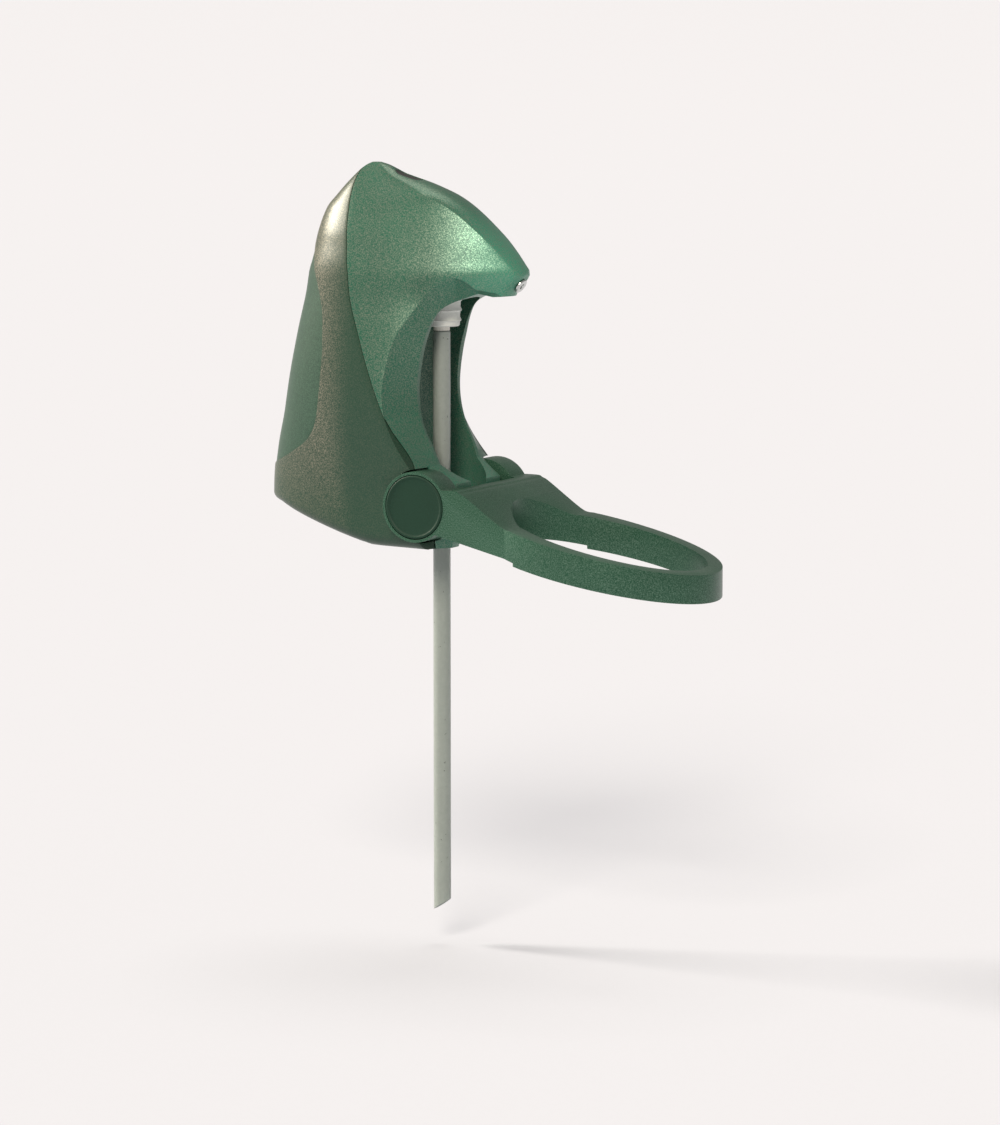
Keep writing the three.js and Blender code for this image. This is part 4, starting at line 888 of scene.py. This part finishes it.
    def cover_prism(self, name: str, grow: float) -> bpy.types.Object:
        """The outline of the battery cover as a solid across the rear."""
        side = [(w * self.half, self.height(h)) for h, w in COVER_SHARES]
        line = through(side, 5, closed=False)
        top, low = side[0][1], side[-1][1]
        middle, reach, widest = (top + low) / 2, (top - low) / 2, max(y for y, _ in side)
        half = [(max(0.0, y) * (1 + grow / widest), middle + (z - middle) * (1 + grow / reach))
                for y, z in line]
        outline = half + [(-y, z) for y, z in half[1:-1][::-1]]
        rear, front = self.cover_reach
        return prism(name, outline, Axis.X, -rear * self.rear, -front * self.rear)

    def plate_zone(self, name: str, shrink: float) -> bpy.types.Object:
        """The plan of the base plate as a solid."""
        outline = self.section(-self.plate_level * self.skirt, self.plate_inset + shrink, (22, 20, 8))
        (low, high), more = self.plate_span, self.plate_end
        zone = prism(name, outline, Axis.Z, low * self.skirt, high * self.skirt)
        ends = block("ends", (-self.beyond * self.rear, -OVERRUN, (low - more) * self.skirt),
                     (self.plate_front - shrink, OVERRUN, (high + more) * self.skirt))
        return work(zone, ends, Cut.COMMON)

    def screw_hole(self, name: str, place: tuple[float, float], grow: float) -> bpy.types.Object:
        """The stepped hole of a base screw."""
        x, y = place
        head, shank = self.screw_head + grow, self.screw_shank + grow
        sunk, deep = self.screw_sunk, self.screw_deep
        return lathe(name, [(0, -self.edge_round), (head, -self.edge_round), (head, sunk), (shank, sunk),
                            (shank, deep), (0, deep)], (x, y, -self.skirt + self.rise(x)), sides=32)

    def button_slot(self, name: str, grow: float, low: float, high: float) -> bpy.types.Object:
        """The rounded slot of the push button."""
        radius, back, front = self.slot_half + grow, self.slot_rear - grow, self.slot_front + grow
        arc = [i / self.slot_steps * math.pi for i in range(self.slot_steps + 1)]
        outline = [(front - radius + radius * math.sin(t), -radius * math.cos(t)) for t in arc]
        outline += [(back + radius - radius * math.sin(t), radius * math.cos(t)) for t in arc]
        return prism(name, outline, Axis.Z, low, high)

    def shell(self) -> bpy.types.Object:
        """The whole casing's wall, with its openings.

        Returns:
            The wall as one solid, before it is split.
        """
        cavity = self.form("cavity", self.wall, self.coarse, self.coarse_levels, self.cavity_top)
        ways = [(-1, 0, 0), (0, 0, 1), (0, 1, 0), (0, -1, 0)]
        for way in ways:
            work(cavity, self.arch("arch_wall", [v * self.wall for v in way]), Cut.AWAY)
        work(cavity, self.neck_room("neck_wall", self.wall), Cut.AWAY)
        for side in Side:
            work(cavity, self.pocket("pocket_wall", side, self.wall), Cut.AWAY)
        wall = self.form("wall", 0)
        work(wall, self.arch("arch"), Cut.AWAY)
        work(wall, self.neck_room("neck", 0), Cut.AWAY)
        for side in Side:
            work(wall, self.pocket("pocket", side, 0), Cut.AWAY)
        work(wall, cavity, Cut.AWAY)
        platform = rod("platform", (0, 0, self.seat), (0, 0, self.seat + self.platform),
                       self.neck - self.platform_inset)
        work(wall, platform, Cut.JOIN)
        for boss in self.bosses():
            work(wall, boss, Cut.JOIN)
        return wall

    def bosses(self) -> list[bpy.types.Object]:
        """The bosses of the base screws, the battery tray's posts and the board's ribs, all inside the wall."""
        made = []
        for x, y in self.screws:
            floor = -self.skirt + self.rise(x) + self.wall
            low, high = floor + self.seam, floor + self.boss_tall
            boss = rod("boss", (x, y, low), (x, y, high), self.boss, 48)
            edge = math.copysign(self.half, y)
            rib = block("rib", (x - self.boss_rib, min(y, edge), low), (x + self.boss_rib, max(y, edge), high))
            made.append(work(boss, rib, Cut.JOIN))
        rear, front, low, high = self.board_rib
        for side in Side:
            y = sorted((side.value * self.board_rib_inner, side.value * OVERRUN))
            made.append(block("board_rib", (rear, y[0], low), (front, y[1], high)))
            middle, half = side.value * self.post_y, self.post_half
            for z in self.post_heights:
                post = block("post", (self.post[0], middle - half, z - half),
                             (self.post[1], middle + half, z + half))
                made.append(work(post, self.neck_room("neck_wall", self.wall / 2), Cut.AWAY))
        return [work(boss, self.form("inside", self.inside, self.coarse, self.coarse_levels), Cut.COMMON)
                for boss in made]

    def openings(self, wall: bpy.types.Object) -> None:
        """Cuts the button, spout, hinge, screw and cover openings.

        Args:
            wall: The casing's wall.
        """
        x, z = HINGE
        low, high = self.rim_holes
        work(wall, rod("tube_hole", (0, 0, low), (0, 0, high), self.tube_hole), Cut.AWAY)
        vent_x, vent = VENT
        work(wall, rod("vent", (vent_x, 0, low), (vent_x, 0, high), vent, 24), Cut.AWAY)
        for side in Side:
            inner, outer = (side.value * y for y in self.pin_span)
            work(wall, rod("pin_hole", (x, inner, z), (x, outer, z), self.pin_hole), Cut.AWAY)
        slot = self.button_slot("button_hole", self.slot_gap, self.slot_low, self.slot_high)
        work(wall, slot, Cut.AWAY)
        centre = Vector(SPOUT_PLACE)
        face = [(centre.x + ahead, centre.z + up) for ahead, up in self.spout_face]
        work(wall, prism("spout_face", face, Axis.Y, -self.spout_half, self.spout_half), Cut.AWAY)
        aim = Vector((math.cos(SPOUT_PITCH), 0, -math.sin(SPOUT_PITCH)))
        start, end = (centre + aim * along for along in self.spout_span)
        work(wall, rod("spout_hole", start, end, self.spout_hole), Cut.AWAY)

    def build(self) -> None:
        """Makes the front and rear casings, the battery cover and the base plate."""
        wall = self.shell()
        self.openings(wall)
        plate = self.form("base_panel", 0)
        work(plate, self.form("inner", self.wall), Cut.AWAY)
        work(plate, self.plate_zone("plate_zone", self.seam), Cut.COMMON)
        gap = self.plate_zone("plate_gap", 0)
        inner = self.form("inner", self.wall)
        inner.data.transform(Matrix.Translation((0, 0, self.seam)))
        work(gap, inner, Cut.AWAY)
        work(wall, gap, Cut.AWAY)
        for place in self.screws:
            work(wall, self.screw_hole("screw_hole", place, self.fit), Cut.AWAY)
            work(plate, self.screw_hole("screw_hole", place, self.fit), Cut.AWAY)
        work(wall, self.cover_prism("cover_hole", 0), Cut.AWAY)
        rear = wall.copy()
        rear.data = wall.data.copy()
        rear.name = "rear_casing"
        bpy.context.scene.collection.objects.link(rear)
        work(rear, self.rear_region("region", -self.seam / 2), Cut.COMMON)
        work(wall, self.rear_region("region", self.seam / 2), Cut.AWAY)
        wall.name = "front_casing"
        panel = self.form("battery_cover", self.cover_recess)
        work(panel, self.form("inner", self.cover_recess + self.cover_thick), Cut.AWAY)
        work(panel, self.cover_prism("cover_cut", -self.seam), Cut.COMMON)
        for piece in (wall, rear, panel):
            keep_largest(piece)
            soften(piece, self.edge)
        soften(plate, self.plate_edge)
        make = self.finisher.piece
        make(wall, GREEN_PAINT, "head", "green_paint", ["front_shell"], 20)
        # The rear casing's bronze-grey is a painted warm sheen, and its dark skirt and front edge are painted
        # shade.
        make(rear, PAINTED_SHEEN_PAINT, "head", "rear_paint", ["rear_shell"], 20)
        make(panel, PANEL_PAINT, "cover", "panel_paint", ["rear_cover"])
        make(plate, DARK_PLASTIC, "head", "base_plastic", ["base_plate"])


def keep_largest(thing: bpy.types.Object) -> None:
    """Deletes every loose part of a mesh but the largest.

    Args:
        thing: The object.
    """
    shape = bmesh.new()
    shape.from_mesh(thing.data)
    left, parts = set(shape.verts), []
    while left:
        edge, part = [left.pop()], set()
        while edge:
            point = edge.pop()
            part.add(point)
            for link in point.link_edges:
                other = link.other_vert(point)
                if other in left:
                    left.remove(other)
                    edge.append(other)
        parts.append(part)
    parts.sort(key=len)
    for part in parts[:-1]:
        bmesh.ops.delete(shape, geom=list(part), context="VERTS")
    shape.to_mesh(thing.data)
    shape.free()


@dataclass
class GlassRing:
    """The ring that holds a tilted glass, with its two hinge drums and knob faces."""

    finisher: Finisher
    centre_x: float = 81.5
    centre_top: float = -110.0
    half_length: float = 56.0
    half_width: float = 48.0
    hole_half_length: float = 45.5
    hole_half_width: float = 38.5
    hole_shift: float = 4.0
    rear_height: float = 15.0
    front_height: float = 12.8
    tilt: float = math.radians(13.2)
    arm_top: float = -87.9
    arm_flat_x: float = 31.0
    arm_bend_x: float = 54.0
    arm_bottom: float = -105.4
    arm_fall: float = 0.25
    arm_rise: float = 0.2
    arm_ease: float = 0.9
    arm_drop: float = 3.1
    arm_lead: float = 4.0
    bend_lead: float = 3.0
    bend_rise: float = 0.5
    band_start: float = 59.0
    band_lap: float = 0.01
    notch_round: float = 5.0
    notch_steps: int = 10
    notch_rear: float = -86.0
    levels: tuple[float, float] = (-170.0, -50.0)
    outer_y: float = 41.5
    bores: Sequence[tuple[float, float, float]] = ((26.0, 41.5, 4.35), (33.2, 41.5, 10.0), (38.4, 43.5, 14.7))
    cap: float = 14.4
    cap_thick: float = 3.0
    cap_proud: float = 0.2
    cap_rim: Sequence[tuple[float, float]] = ((0.0, -0.5), (0.15, -0.2), (0.45, 0.0), (1.0, 0.0), (1.25, -0.12),
                                              (1.5, -0.3), (1.9, -0.34), (5.0, -0.3))
    cap_middle: float = -0.25
    edge: float = 0.9
    sides: int = 160

    def plane(self, x: float) -> float:
        """Height of the ring's top face at a place along it."""
        return self.centre_top - math.tan(self.tilt) * (x - self.centre_x)

    def oval(self, name: str, centre: float, length: float, width: float) -> bpy.types.Object:
        """An upright oval solid through the ring's height."""
        turns = [i / self.sides * 2 * math.pi for i in range(self.sides)]
        outline = [(centre + length * math.cos(t), width * math.sin(t)) for t in turns]
        return prism(name, outline, Axis.Z, *self.levels)

    def notch(self) -> bpy.types.Object:
        """The room between the arms, with its two round corners."""
        w, r, front = DRUM_INNER, self.notch_round, self.centre_x - self.half_length
        arc = [i / self.notch_steps * math.pi / 2 for i in range(self.notch_steps + 1)]
        low = [(front - r + r * math.sin(t), -w + r - r * math.cos(t)) for t in arc]
        high = [(front - r + r * math.cos(t), w - r + r * math.sin(t)) for t in arc]
        rear = self.notch_rear
        return prism("notch", [(rear, -w), *low, *high, (rear, w)], Axis.Z, *self.levels)

    def arms(self) -> bpy.types.Object:
        """The two arms and the web, cut to their side outline."""
        hx, flat, start = HINGE[0], self.arm_flat_x, self.band_start
        before, after = self.arm_bend_x - self.bend_lead, self.arm_bend_x + self.bend_lead
        top = [(hx, self.arm_top), (flat - self.arm_lead, self.arm_top + self.arm_rise),
               (flat, self.arm_top - self.arm_ease), (flat + self.arm_lead, self.arm_top - self.arm_drop),
               (before, self.plane(before) + self.bend_rise), (after, self.plane(after)),
               (start, self.plane(start))]
        line = [tuple(p) for p in through(top, 6, closed=False)]
        low = [(x, self.arm_bottom - self.arm_fall * (x - hx)) for x in (start, hx)]
        side = prism("arm_side", [*line, *low], Axis.Y, -OVERRUN, OVERRUN)
        plan = self.oval("arm_plan", self.centre_x, self.half_length, self.half_width)
        bottom, lid = self.levels
        work(plan, block("arm_block", (hx, -self.outer_y, bottom + 1), (start, self.outer_y, lid - 1)),
             Cut.JOIN)
        work(plan, side, Cut.COMMON)
        return work(plan, self.notch(), Cut.AWAY)

    def build(self) -> None:
        """Makes the ring and the two knob faces."""
        hx, hz = HINGE
        front = self.centre_x + self.half_length
        ring = self.arms()
        ring.name = "glass_holder"
        band = self.oval("band", self.centre_x, self.half_length, self.half_width)
        start, end = self.band_start - self.band_lap, front + 2
        outline = [(start, self.plane(start)), (end, self.plane(end)),
                   (end, self.plane(end) - self.front_height), (start, self.plane(start) - self.rear_height)]
        work(band, prism("band_side", outline, Axis.Y, -OVERRUN, OVERRUN), Cut.COMMON)
        work(ring, band, Cut.JOIN)
        for side in Side:
            inner, outer = side.value * DRUM_INNER, side.value * self.outer_y
            work(ring, rod("drum", (hx, inner, hz), (hx, outer, hz), DRUM_RADIUS, 128), Cut.JOIN)
        centre = self.centre_x + self.hole_shift
        work(ring, self.oval("hole", centre, self.hole_half_length, self.hole_half_width), Cut.AWAY)
        for side in Side:
            for start, end, radius in self.bores:
                start, end = side.value * start, side.value * end
                work(ring, rod("bore", (hx, start, hz), (hx, end, hz), radius, 96), Cut.AWAY)
        soften(ring, self.edge, 30, 4)
        self.finisher.piece(ring, RING_PAINT, "ring", "ring_paint", ["glass_ring"])
        for side in Side:
            self.knob_face(side)

    def knob_face(self, side: Side) -> None:
        """One pressed-in knob face, with a turned rim and a shallow dish."""
        r, thick = self.cap, self.cap_thick
        hx, hz = HINGE
        profile = [(0, -thick), (r, -thick), *((r - inward, down) for inward, down in self.cap_rim),
                   (0, self.cap_middle)]
        place, name = (hx, side.value * (self.outer_y + self.cap_proud), hz), side.name.lower()
        face = lathe("knob_face_" + name, profile, place, (0, side.value, 0), 128)
        self.finisher.piece(face, KNOB_PLASTIC, "ring", "knob_plastic", ["knob_cap_" + name], 40)


@dataclass
class Spout:
    """The steel spout tip in the head's nose."""

    finisher: Finisher
    radius: float = 2.3
    bore: float = 1.2
    flange: float = 3.5
    length: float = 9.0
    barb: float = 6.0
    barb_tip: float = 1.5
    barb_full: float = 1.7
    barb_rise: float = 0.5
    gap: float = 0.3
    rim: Sequence[tuple[float, float]] = ((0.0, 0.45), (-0.12, 0.7), (-0.45, 0.88))
    mouth: Sequence[tuple[float, float]] = ((0.6, 0.9), (0.25, 0.8), (0.0, 0.45))

    def build(self) -> None:
        """Makes the spout tip: its barb, its stem, and the flange with a rounded rim and mouth."""
        bore, stem, gap = self.bore, self.radius, self.gap
        end, shoulder = -self.length - self.barb, -self.length
        profile = [(bore, end), (self.barb_tip, end), (self.barb_full, end + self.barb_rise),
                   (self.barb_full, shoulder), (stem, shoulder), (stem, gap), (self.flange, gap),
                   *((self.flange + out, gap + up) for out, up in self.rim),
                   *((bore + out, gap + up) for out, up in self.mouth)]
        aim = (math.cos(SPOUT_PITCH), 0, -math.sin(SPOUT_PITCH))
        tip = lathe("spout_tip", profile, SPOUT_PLACE, aim, 72)
        self.finisher.piece(tip, SPOUT_STEEL, "head", "nozzle_steel", ["nozzle"], 40)


@dataclass
class Button:
    """The push button in its slot on top of the head."""

    finisher: Finisher
    casing: Casing
    low: float = 42.6
    recess: float = 0.5
    travel: float = 1.2
    high: float = 57.0
    flange: float = 1.1
    edge: float = 0.3
    spring_x: float = -16.0
    board_top: float = 37.2
    coil_radius: float = 3.9
    wire: float = 0.35
    turns: int = 4
    turn_steps: int = 24
    wire_sides: int = 10
    gap: float = 0.1

    def spring(self) -> None:
        """Makes the wire spring between the board and the button. The real spring shortens as the button is
        pressed; this one keeps one length.
        """
        low, high = self.board_top + self.gap + self.wire, self.low - self.gap - self.wire
        turns = np.linspace(0, self.turns * 2 * math.pi, self.turns * self.turn_steps + 1)
        section = np.linspace(0, 2 * math.pi, self.wire_sides, endpoint=False)
        reach, rise = self.coil_radius + self.wire * np.cos(section), self.wire * np.sin(section)
        rings = [np.column_stack([self.spring_x + reach * math.cos(t), reach * math.sin(t),
                                  low + (high - low) * t / turns[-1] + rise]) for t in turns]
        coil = self.finisher.piece(loft("spring_coil", rings), TURNED_STEEL, "head", "spring_steel",
                                   ["button_spring"], 60)
        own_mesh(coil)

    def build(self) -> None:
        """Makes the button, its top following the head's curve, and the spring below it."""
        key = self.casing.button_slot("button_key", 0, self.low, self.high)
        top = self.casing.form("top", 0)
        top.data.transform(Matrix.Translation((0, 0, -self.recess)))
        work(key, top, Cut.COMMON)
        flange = self.casing.button_slot("button_flange", self.flange, self.low, self.high)
        under = self.casing.form("under", 0)
        under.data.transform(Matrix.Translation((0, 0, -self.casing.wall - self.travel)))
        work(flange, under, Cut.COMMON)
        work(key, flange, Cut.JOIN)
        soften(key, self.edge)
        self.finisher.piece(key, BUTTON_BLACK, "button", "button_plastic", ["push_button"])
        self.spring()


@dataclass
class BottleSeat:
    """The ribbed stopper on the bottle's rim and the tube that hangs into the bottle."""

    finisher: Finisher
    flange: float = 16.2
    flange_top: float = 2.9
    plug_top: float = 9.1
    plug_low: float = 8.3
    depth: float = 17.0
    ribs: int = 3
    proud: float = 0.7
    bore: float = 3.92
    tube: float = 4.0
    tube_bore: float = 3.0
    tube_top: float = -19.3
    tube_low: float = -288.0
    bevel: float = 6.0
    edge: float = 0.6
    chamfer: float = 0.2
    tip: float = 0.5
    lip: float = 0.25
    contact: float = 0.01
    rib_start: float = 1.1
    rib_spread: float = 0.7
    rib_line: Sequence[tuple[float, float]] = ((0.0, -0.6), (0.8, -0.25), (1.0, 0.0), (0.85, 0.3), (0.0, 1.6))

    def build(self) -> None:
        """Makes the stopper and the dip tube."""
        low = -self.depth
        profile = [(self.bore, low), (self.plug_low - self.tip, low), (self.plug_low, low + self.tip)]
        for i in reversed(range(self.ribs)):
            share = (i + self.rib_start) / (self.ribs + self.rib_spread)
            z, r = low * share, self.plug_top + (self.plug_low - self.plug_top) * share
            profile += [(r + out * self.proud, z + up) for out, up in self.rib_line]
        top = self.flange_top
        profile += [(self.plug_top, self.contact), (self.flange, self.contact), (self.flange, top - self.edge),
                    (self.flange - self.chamfer, top - self.chamfer), (self.flange - self.edge, top),
                    (self.bore, top)]
        stopper = lathe("bottle_seat", profile)
        x, radius = VENT
        work(stopper, rod("vent", (x, 0, low - 3), (x, 0, top + 2), radius, 24), Cut.AWAY)
        self.finisher.piece(stopper, SILICONE, "head", "stopper_rubber", ["bottle_stopper"])
        bore, radius, low, top = self.tube_bore, self.tube, self.tube_low, self.tube_top
        tube = lathe("drawing_tube", [(bore, low), (radius, low), (radius, top - self.lip),
                                      (radius - self.lip, top), (bore, top)], sides=64)
        past = radius + 1
        wedge = [(-past, low - 1), (past, low - 1), (past, low + self.bevel)]
        work(tube, prism("wedge", wedge, Axis.Y, -past, past), Cut.AWAY)
        self.finisher.piece(tube, TUBE_PLASTIC, "head", "tube_plastic", ["dip_tube"])


# Outlines of what repeats, as radius and distance along its axis: base screw, pump screw and cell.
BASE_SCREW = [(0, 0.4), (2.1, 0.4), (2.45, 0.55), (2.6, 0.85), (2.6, 1.4), (1.3, 1.4), (1.3, 10.6), (0.9, 11.0),
              (0, 11.0)]
PUMP_SCREW = [(0, -9.0), (1.0, -9.0), (1.0, -0.9), (1.8, -0.9), (1.8, -0.15), (1.55, 0.2), (0, 0.2)]
CELL = [(0, 0.3), (4.6, 0.3), (4.9, 0), (6.5, 0), (6.9, 0.25), (7.1, 0.7), (7.1, 48.3), (6.8, 48.9),
        (6.3, 49.2), (5.2, 49.2), (4.9, 48.8), (2.9, 48.8), (2.75, 50.1), (2.5, 50.4), (0, 50.4)]


@dataclass
class Repeats:
    """What repeats, put in place by geometry nodes: the base screws, the pump screws and the cells."""

    finisher: Finisher
    recess: float = 0.4
    lap: float = 0.3
    drive: float = 0.9
    drive_deep: float = 0.7
    pump_drive: float = 0.7
    pump_drive_deep: float = 0.5
    pump_face: float = -6.4
    pump_middle: float = 19.7
    pump_y: float = 8.6
    pump_z: float = 8.8
    cell_low: float = -83.0
    cell_y: float = 7.7
    cell_x: tuple[float, float] = (-53.9, -38.5)

    def tree(self, name: str, unit: bpy.types.Object, material: bpy.types.Material) -> bpy.types.NodeTree:
        """Builds the tree that puts a unit on every point.

        Args:
            name: The tree's name.
            unit: The object that repeats, in millimetres.
            material: The finish set at the end.

        Returns:
            The tree, with a named input for the unit's size.
        """
        tree = bpy.data.node_groups.new(name, "GeometryNodeTree")
        tree.interface.new_socket("Places", in_out="INPUT", socket_type="NodeSocketGeometry")
        size = tree.interface.new_socket("Unit size", in_out="INPUT", socket_type="NodeSocketFloat")
        size.default_value = 1.0
        tree.interface.new_socket("Pieces", in_out="OUTPUT", socket_type="NodeSocketGeometry")
        given = add(tree, "NodeGroupInput")
        piece = add(tree, "GeometryNodeObjectInfo", {"Object": unit})
        put = add(tree, "GeometryNodeInstanceOnPoints", links={
            "Points": given.outputs["Places"], "Instance": piece.outputs["Geometry"],
            "Scale": given.outputs["Unit size"]})
        real = add(tree, "GeometryNodeRealizeInstances", links={"Geometry": put.outputs["Instances"]})
        dress = add(tree, "GeometryNodeSetMaterial", {"Material": material},
                    {"Geometry": real.outputs["Geometry"]})
        end = add(tree, "NodeGroupOutput")
        tree.links.new(dress.outputs["Geometry"], end.inputs["Pieces"])
        return tree

    def place(self, name: str, unit: bpy.types.Object, places: Sequence[Point3], finish: Speckled, slot: str,
              nodes: Sequence[str]) -> None:
        """Args:
            name: The piece's name.
            unit: The object that repeats, in millimetres.
            places: Where each one goes.
            finish: The finish of all of them.
            slot: Not used; it is passed on to the finisher, which ignores it.
            nodes: The CAD nodes that they stand for.
        """
        mesh = bpy.data.meshes.new(name)
        mesh.from_pydata([tuple(p) for p in places], [], [])
        group = bpy.data.objects.new(name, mesh)
        bpy.context.scene.collection.objects.link(group)
        modifier = group.modifiers.new("repeat", "NODES")
        modifier.node_group = self.tree(name + "_tree", unit, self.finisher.material(finish))
        size = modifier.node_group.interface.items_tree["Unit size"].identifier
        modifier[size] = 1.0
        bake(group)
        bpy.data.objects.remove(unit)
        self.finisher.piece(group, finish, "head", slot, nodes, 35)

    def build(self, casing: Casing) -> None:
        """Makes the base screws, the pump screws and the cells.

        Args:
            casing: The casing that the base screws hold.
        """
        drive = rod("drive_bit", (0, 0, self.recess - self.lap), (0, 0, self.recess + self.drive_deep),
                    self.drive, 6)
        screw = lathe("screw", BASE_SCREW, sides=40)
        work(screw, drive, Cut.AWAY)
        places = [(x, y, -casing.skirt + casing.rise(x)) for x, y in casing.screws]
        self.place("base_screws", screw, places, BLACK_STEEL, "screw_steel",
                   [f"base_screw_{i}" for i in range(1, 5)])
        head = lathe("pump_screw", PUMP_SCREW, axis=(1, 0, 0), sides=32)
        work(head, rod("pump_bit", (-self.pump_drive_deep, 0, 0), (1, 0, 0), self.pump_drive, 6), Cut.AWAY)
        places = [(self.pump_face, y * self.pump_y, self.pump_middle + z * self.pump_z)
                  for y, z in ((1, 1), (1, -1), (-1, 1), (-1, -1))]
        self.place("pump_screws", head, places, TURNED_STEEL, "steel", [f"pump_screw_{i}" for i in range(1, 5)])
        for name, low, aim, y, nodes in (
                ("cells_upright", self.cell_low, 1, -self.cell_y, ("battery_1", "battery_3")),
                ("cells_turned", self.cell_low + CELL[-1][1], -1, self.cell_y, ("battery_2", "battery_4"))):
            unit = lathe("cell", CELL, axis=(0, 0, aim), sides=64)
            self.place(name, unit, [(x, y, low) for x in self.cell_x], CELL_SLEEVE, "cell_jacket", nodes)


@dataclass
class Studio:
    """The camera, the soft lights and the pale floor."""

    finisher: Finisher
    azimuth: float = 28.0
    distance: float = 2.0
    camera_height: float = 0.12
    aim_right: float = 0.0267
    aim_height: float = -0.126
    lens: float = 140.16
    sensor: float = 36.0
    sight: float = 50.0
    floor: float = -0.304
    floor_thick: float = 0.02
    floor_half: float = 14.0
    sweep_start: float = 8.0
    sweep_rise: float = 0.75
    ambient: float = 0.35

    def toward(self) -> Vector:
        """The level direction from the object to the camera."""
        turn = math.radians(self.azimuth)
        return Vector((math.sin(turn), -math.cos(turn), 0))

    def right(self) -> Vector:
        """The camera's level right."""
        turn = math.radians(self.azimuth)
        return Vector((math.cos(turn), math.sin(turn), 0))

    def camera(self) -> None:
        """Makes the camera at the photograph's angle."""
        data = bpy.data.cameras.new("front_camera")
        data.lens, data.sensor_width, data.sensor_fit = self.lens, self.sensor, "AUTO"
        data.clip_end = self.sight
        eye = bpy.data.objects.new("front_camera", data)
        bpy.context.scene.collection.objects.link(eye)
        eye.location = self.toward() * self.distance + Vector((0, 0, self.camera_height))
        target = self.right() * self.aim_right + Vector((0, 0, self.aim_height))
        eye.rotation_euler = (target - eye.location).to_track_quat("-Z", "Y").to_euler()
        bpy.context.scene.camera = eye

    def light(self, name: str, place: Point3, power: float, tint: str, softness: float) -> None:
        """One far, soft light that reaches the head and the floor evenly.

        Args:
            name: The light's name.
            place: Right, toward and up shares of the direction that it comes from.
            power: Its power, in watts per square metre.
            tint: Its colour.
            softness: How wide it looks from the head, in degrees.
        """
        data = bpy.data.lights.new(name, "SUN")
        data.energy, data.color, data.angle = power, linear(tint)[:3], math.radians(softness)
        lamp = bpy.data.objects.new(name, data)
        bpy.context.scene.collection.objects.link(lamp)
        lamp.location = self.right() * place[0] + self.toward() * place[1] + Vector((0, 0, place[2]))
        lamp.rotation_euler = (-lamp.location).to_track_quat("-Z", "Y").to_euler()

    def build(self) -> None:
        """Makes the studio."""
        self.camera()
        far, start, under = self.floor_half, self.sweep_start, self.floor - self.floor_thick
        sweep = [(y, self.floor + self.sweep_rise * ((y - start) / (far - start)) ** 2)
                 for y in np.linspace(start, far, 31)]
        outline = [(-far, under), (far, under), *sweep[::-1], (-far, self.floor)]
        floor = prism("studio_floor", outline, Axis.X, -far, far)
        floor.data.transform(Matrix.Rotation(math.radians(self.azimuth), 4, "Z"))
        floor.data.materials.append(self.finisher.material(STUDIO_PAPER))
        shade(floor, 30)
        self.light("high_front", (-0.2, 0.8, 0.56), 2.6, "fff3e2", 22)
        self.light("rear_left", (-0.84, -0.31, 0.46), 5.0, "fff4e6", 20)
        self.light("overhead", (0.05, -0.3, 0.95), 0.8, "fff6ec", 30)
        world = bpy.data.worlds.new("pale_studio")
        bpy.context.scene.world = world
        world.use_nodes = True
        sky = world.node_tree.nodes["Background"]
        sky.inputs["Color"].default_value = linear("f5f1ee")
        sky.inputs["Strength"].default_value = self.ambient
        bpy.context.scene.view_settings.view_transform = "Standard"


def main() -> None:
    """Builds every sub-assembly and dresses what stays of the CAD."""
    logging.basicConfig(level=logging.INFO, format="%(name)s: %(message)s")
    finisher = Finisher()
    Studio(finisher).build()
    casing = Casing(finisher)
    casing.build()
    GlassRing(finisher).build()
    Spout(finisher).build()
    Button(finisher, casing).build()
    BottleSeat(finisher).build()
    Repeats(finisher).build(casing)
    finisher.dress_cad()


if __name__ == "__main__":
    main()
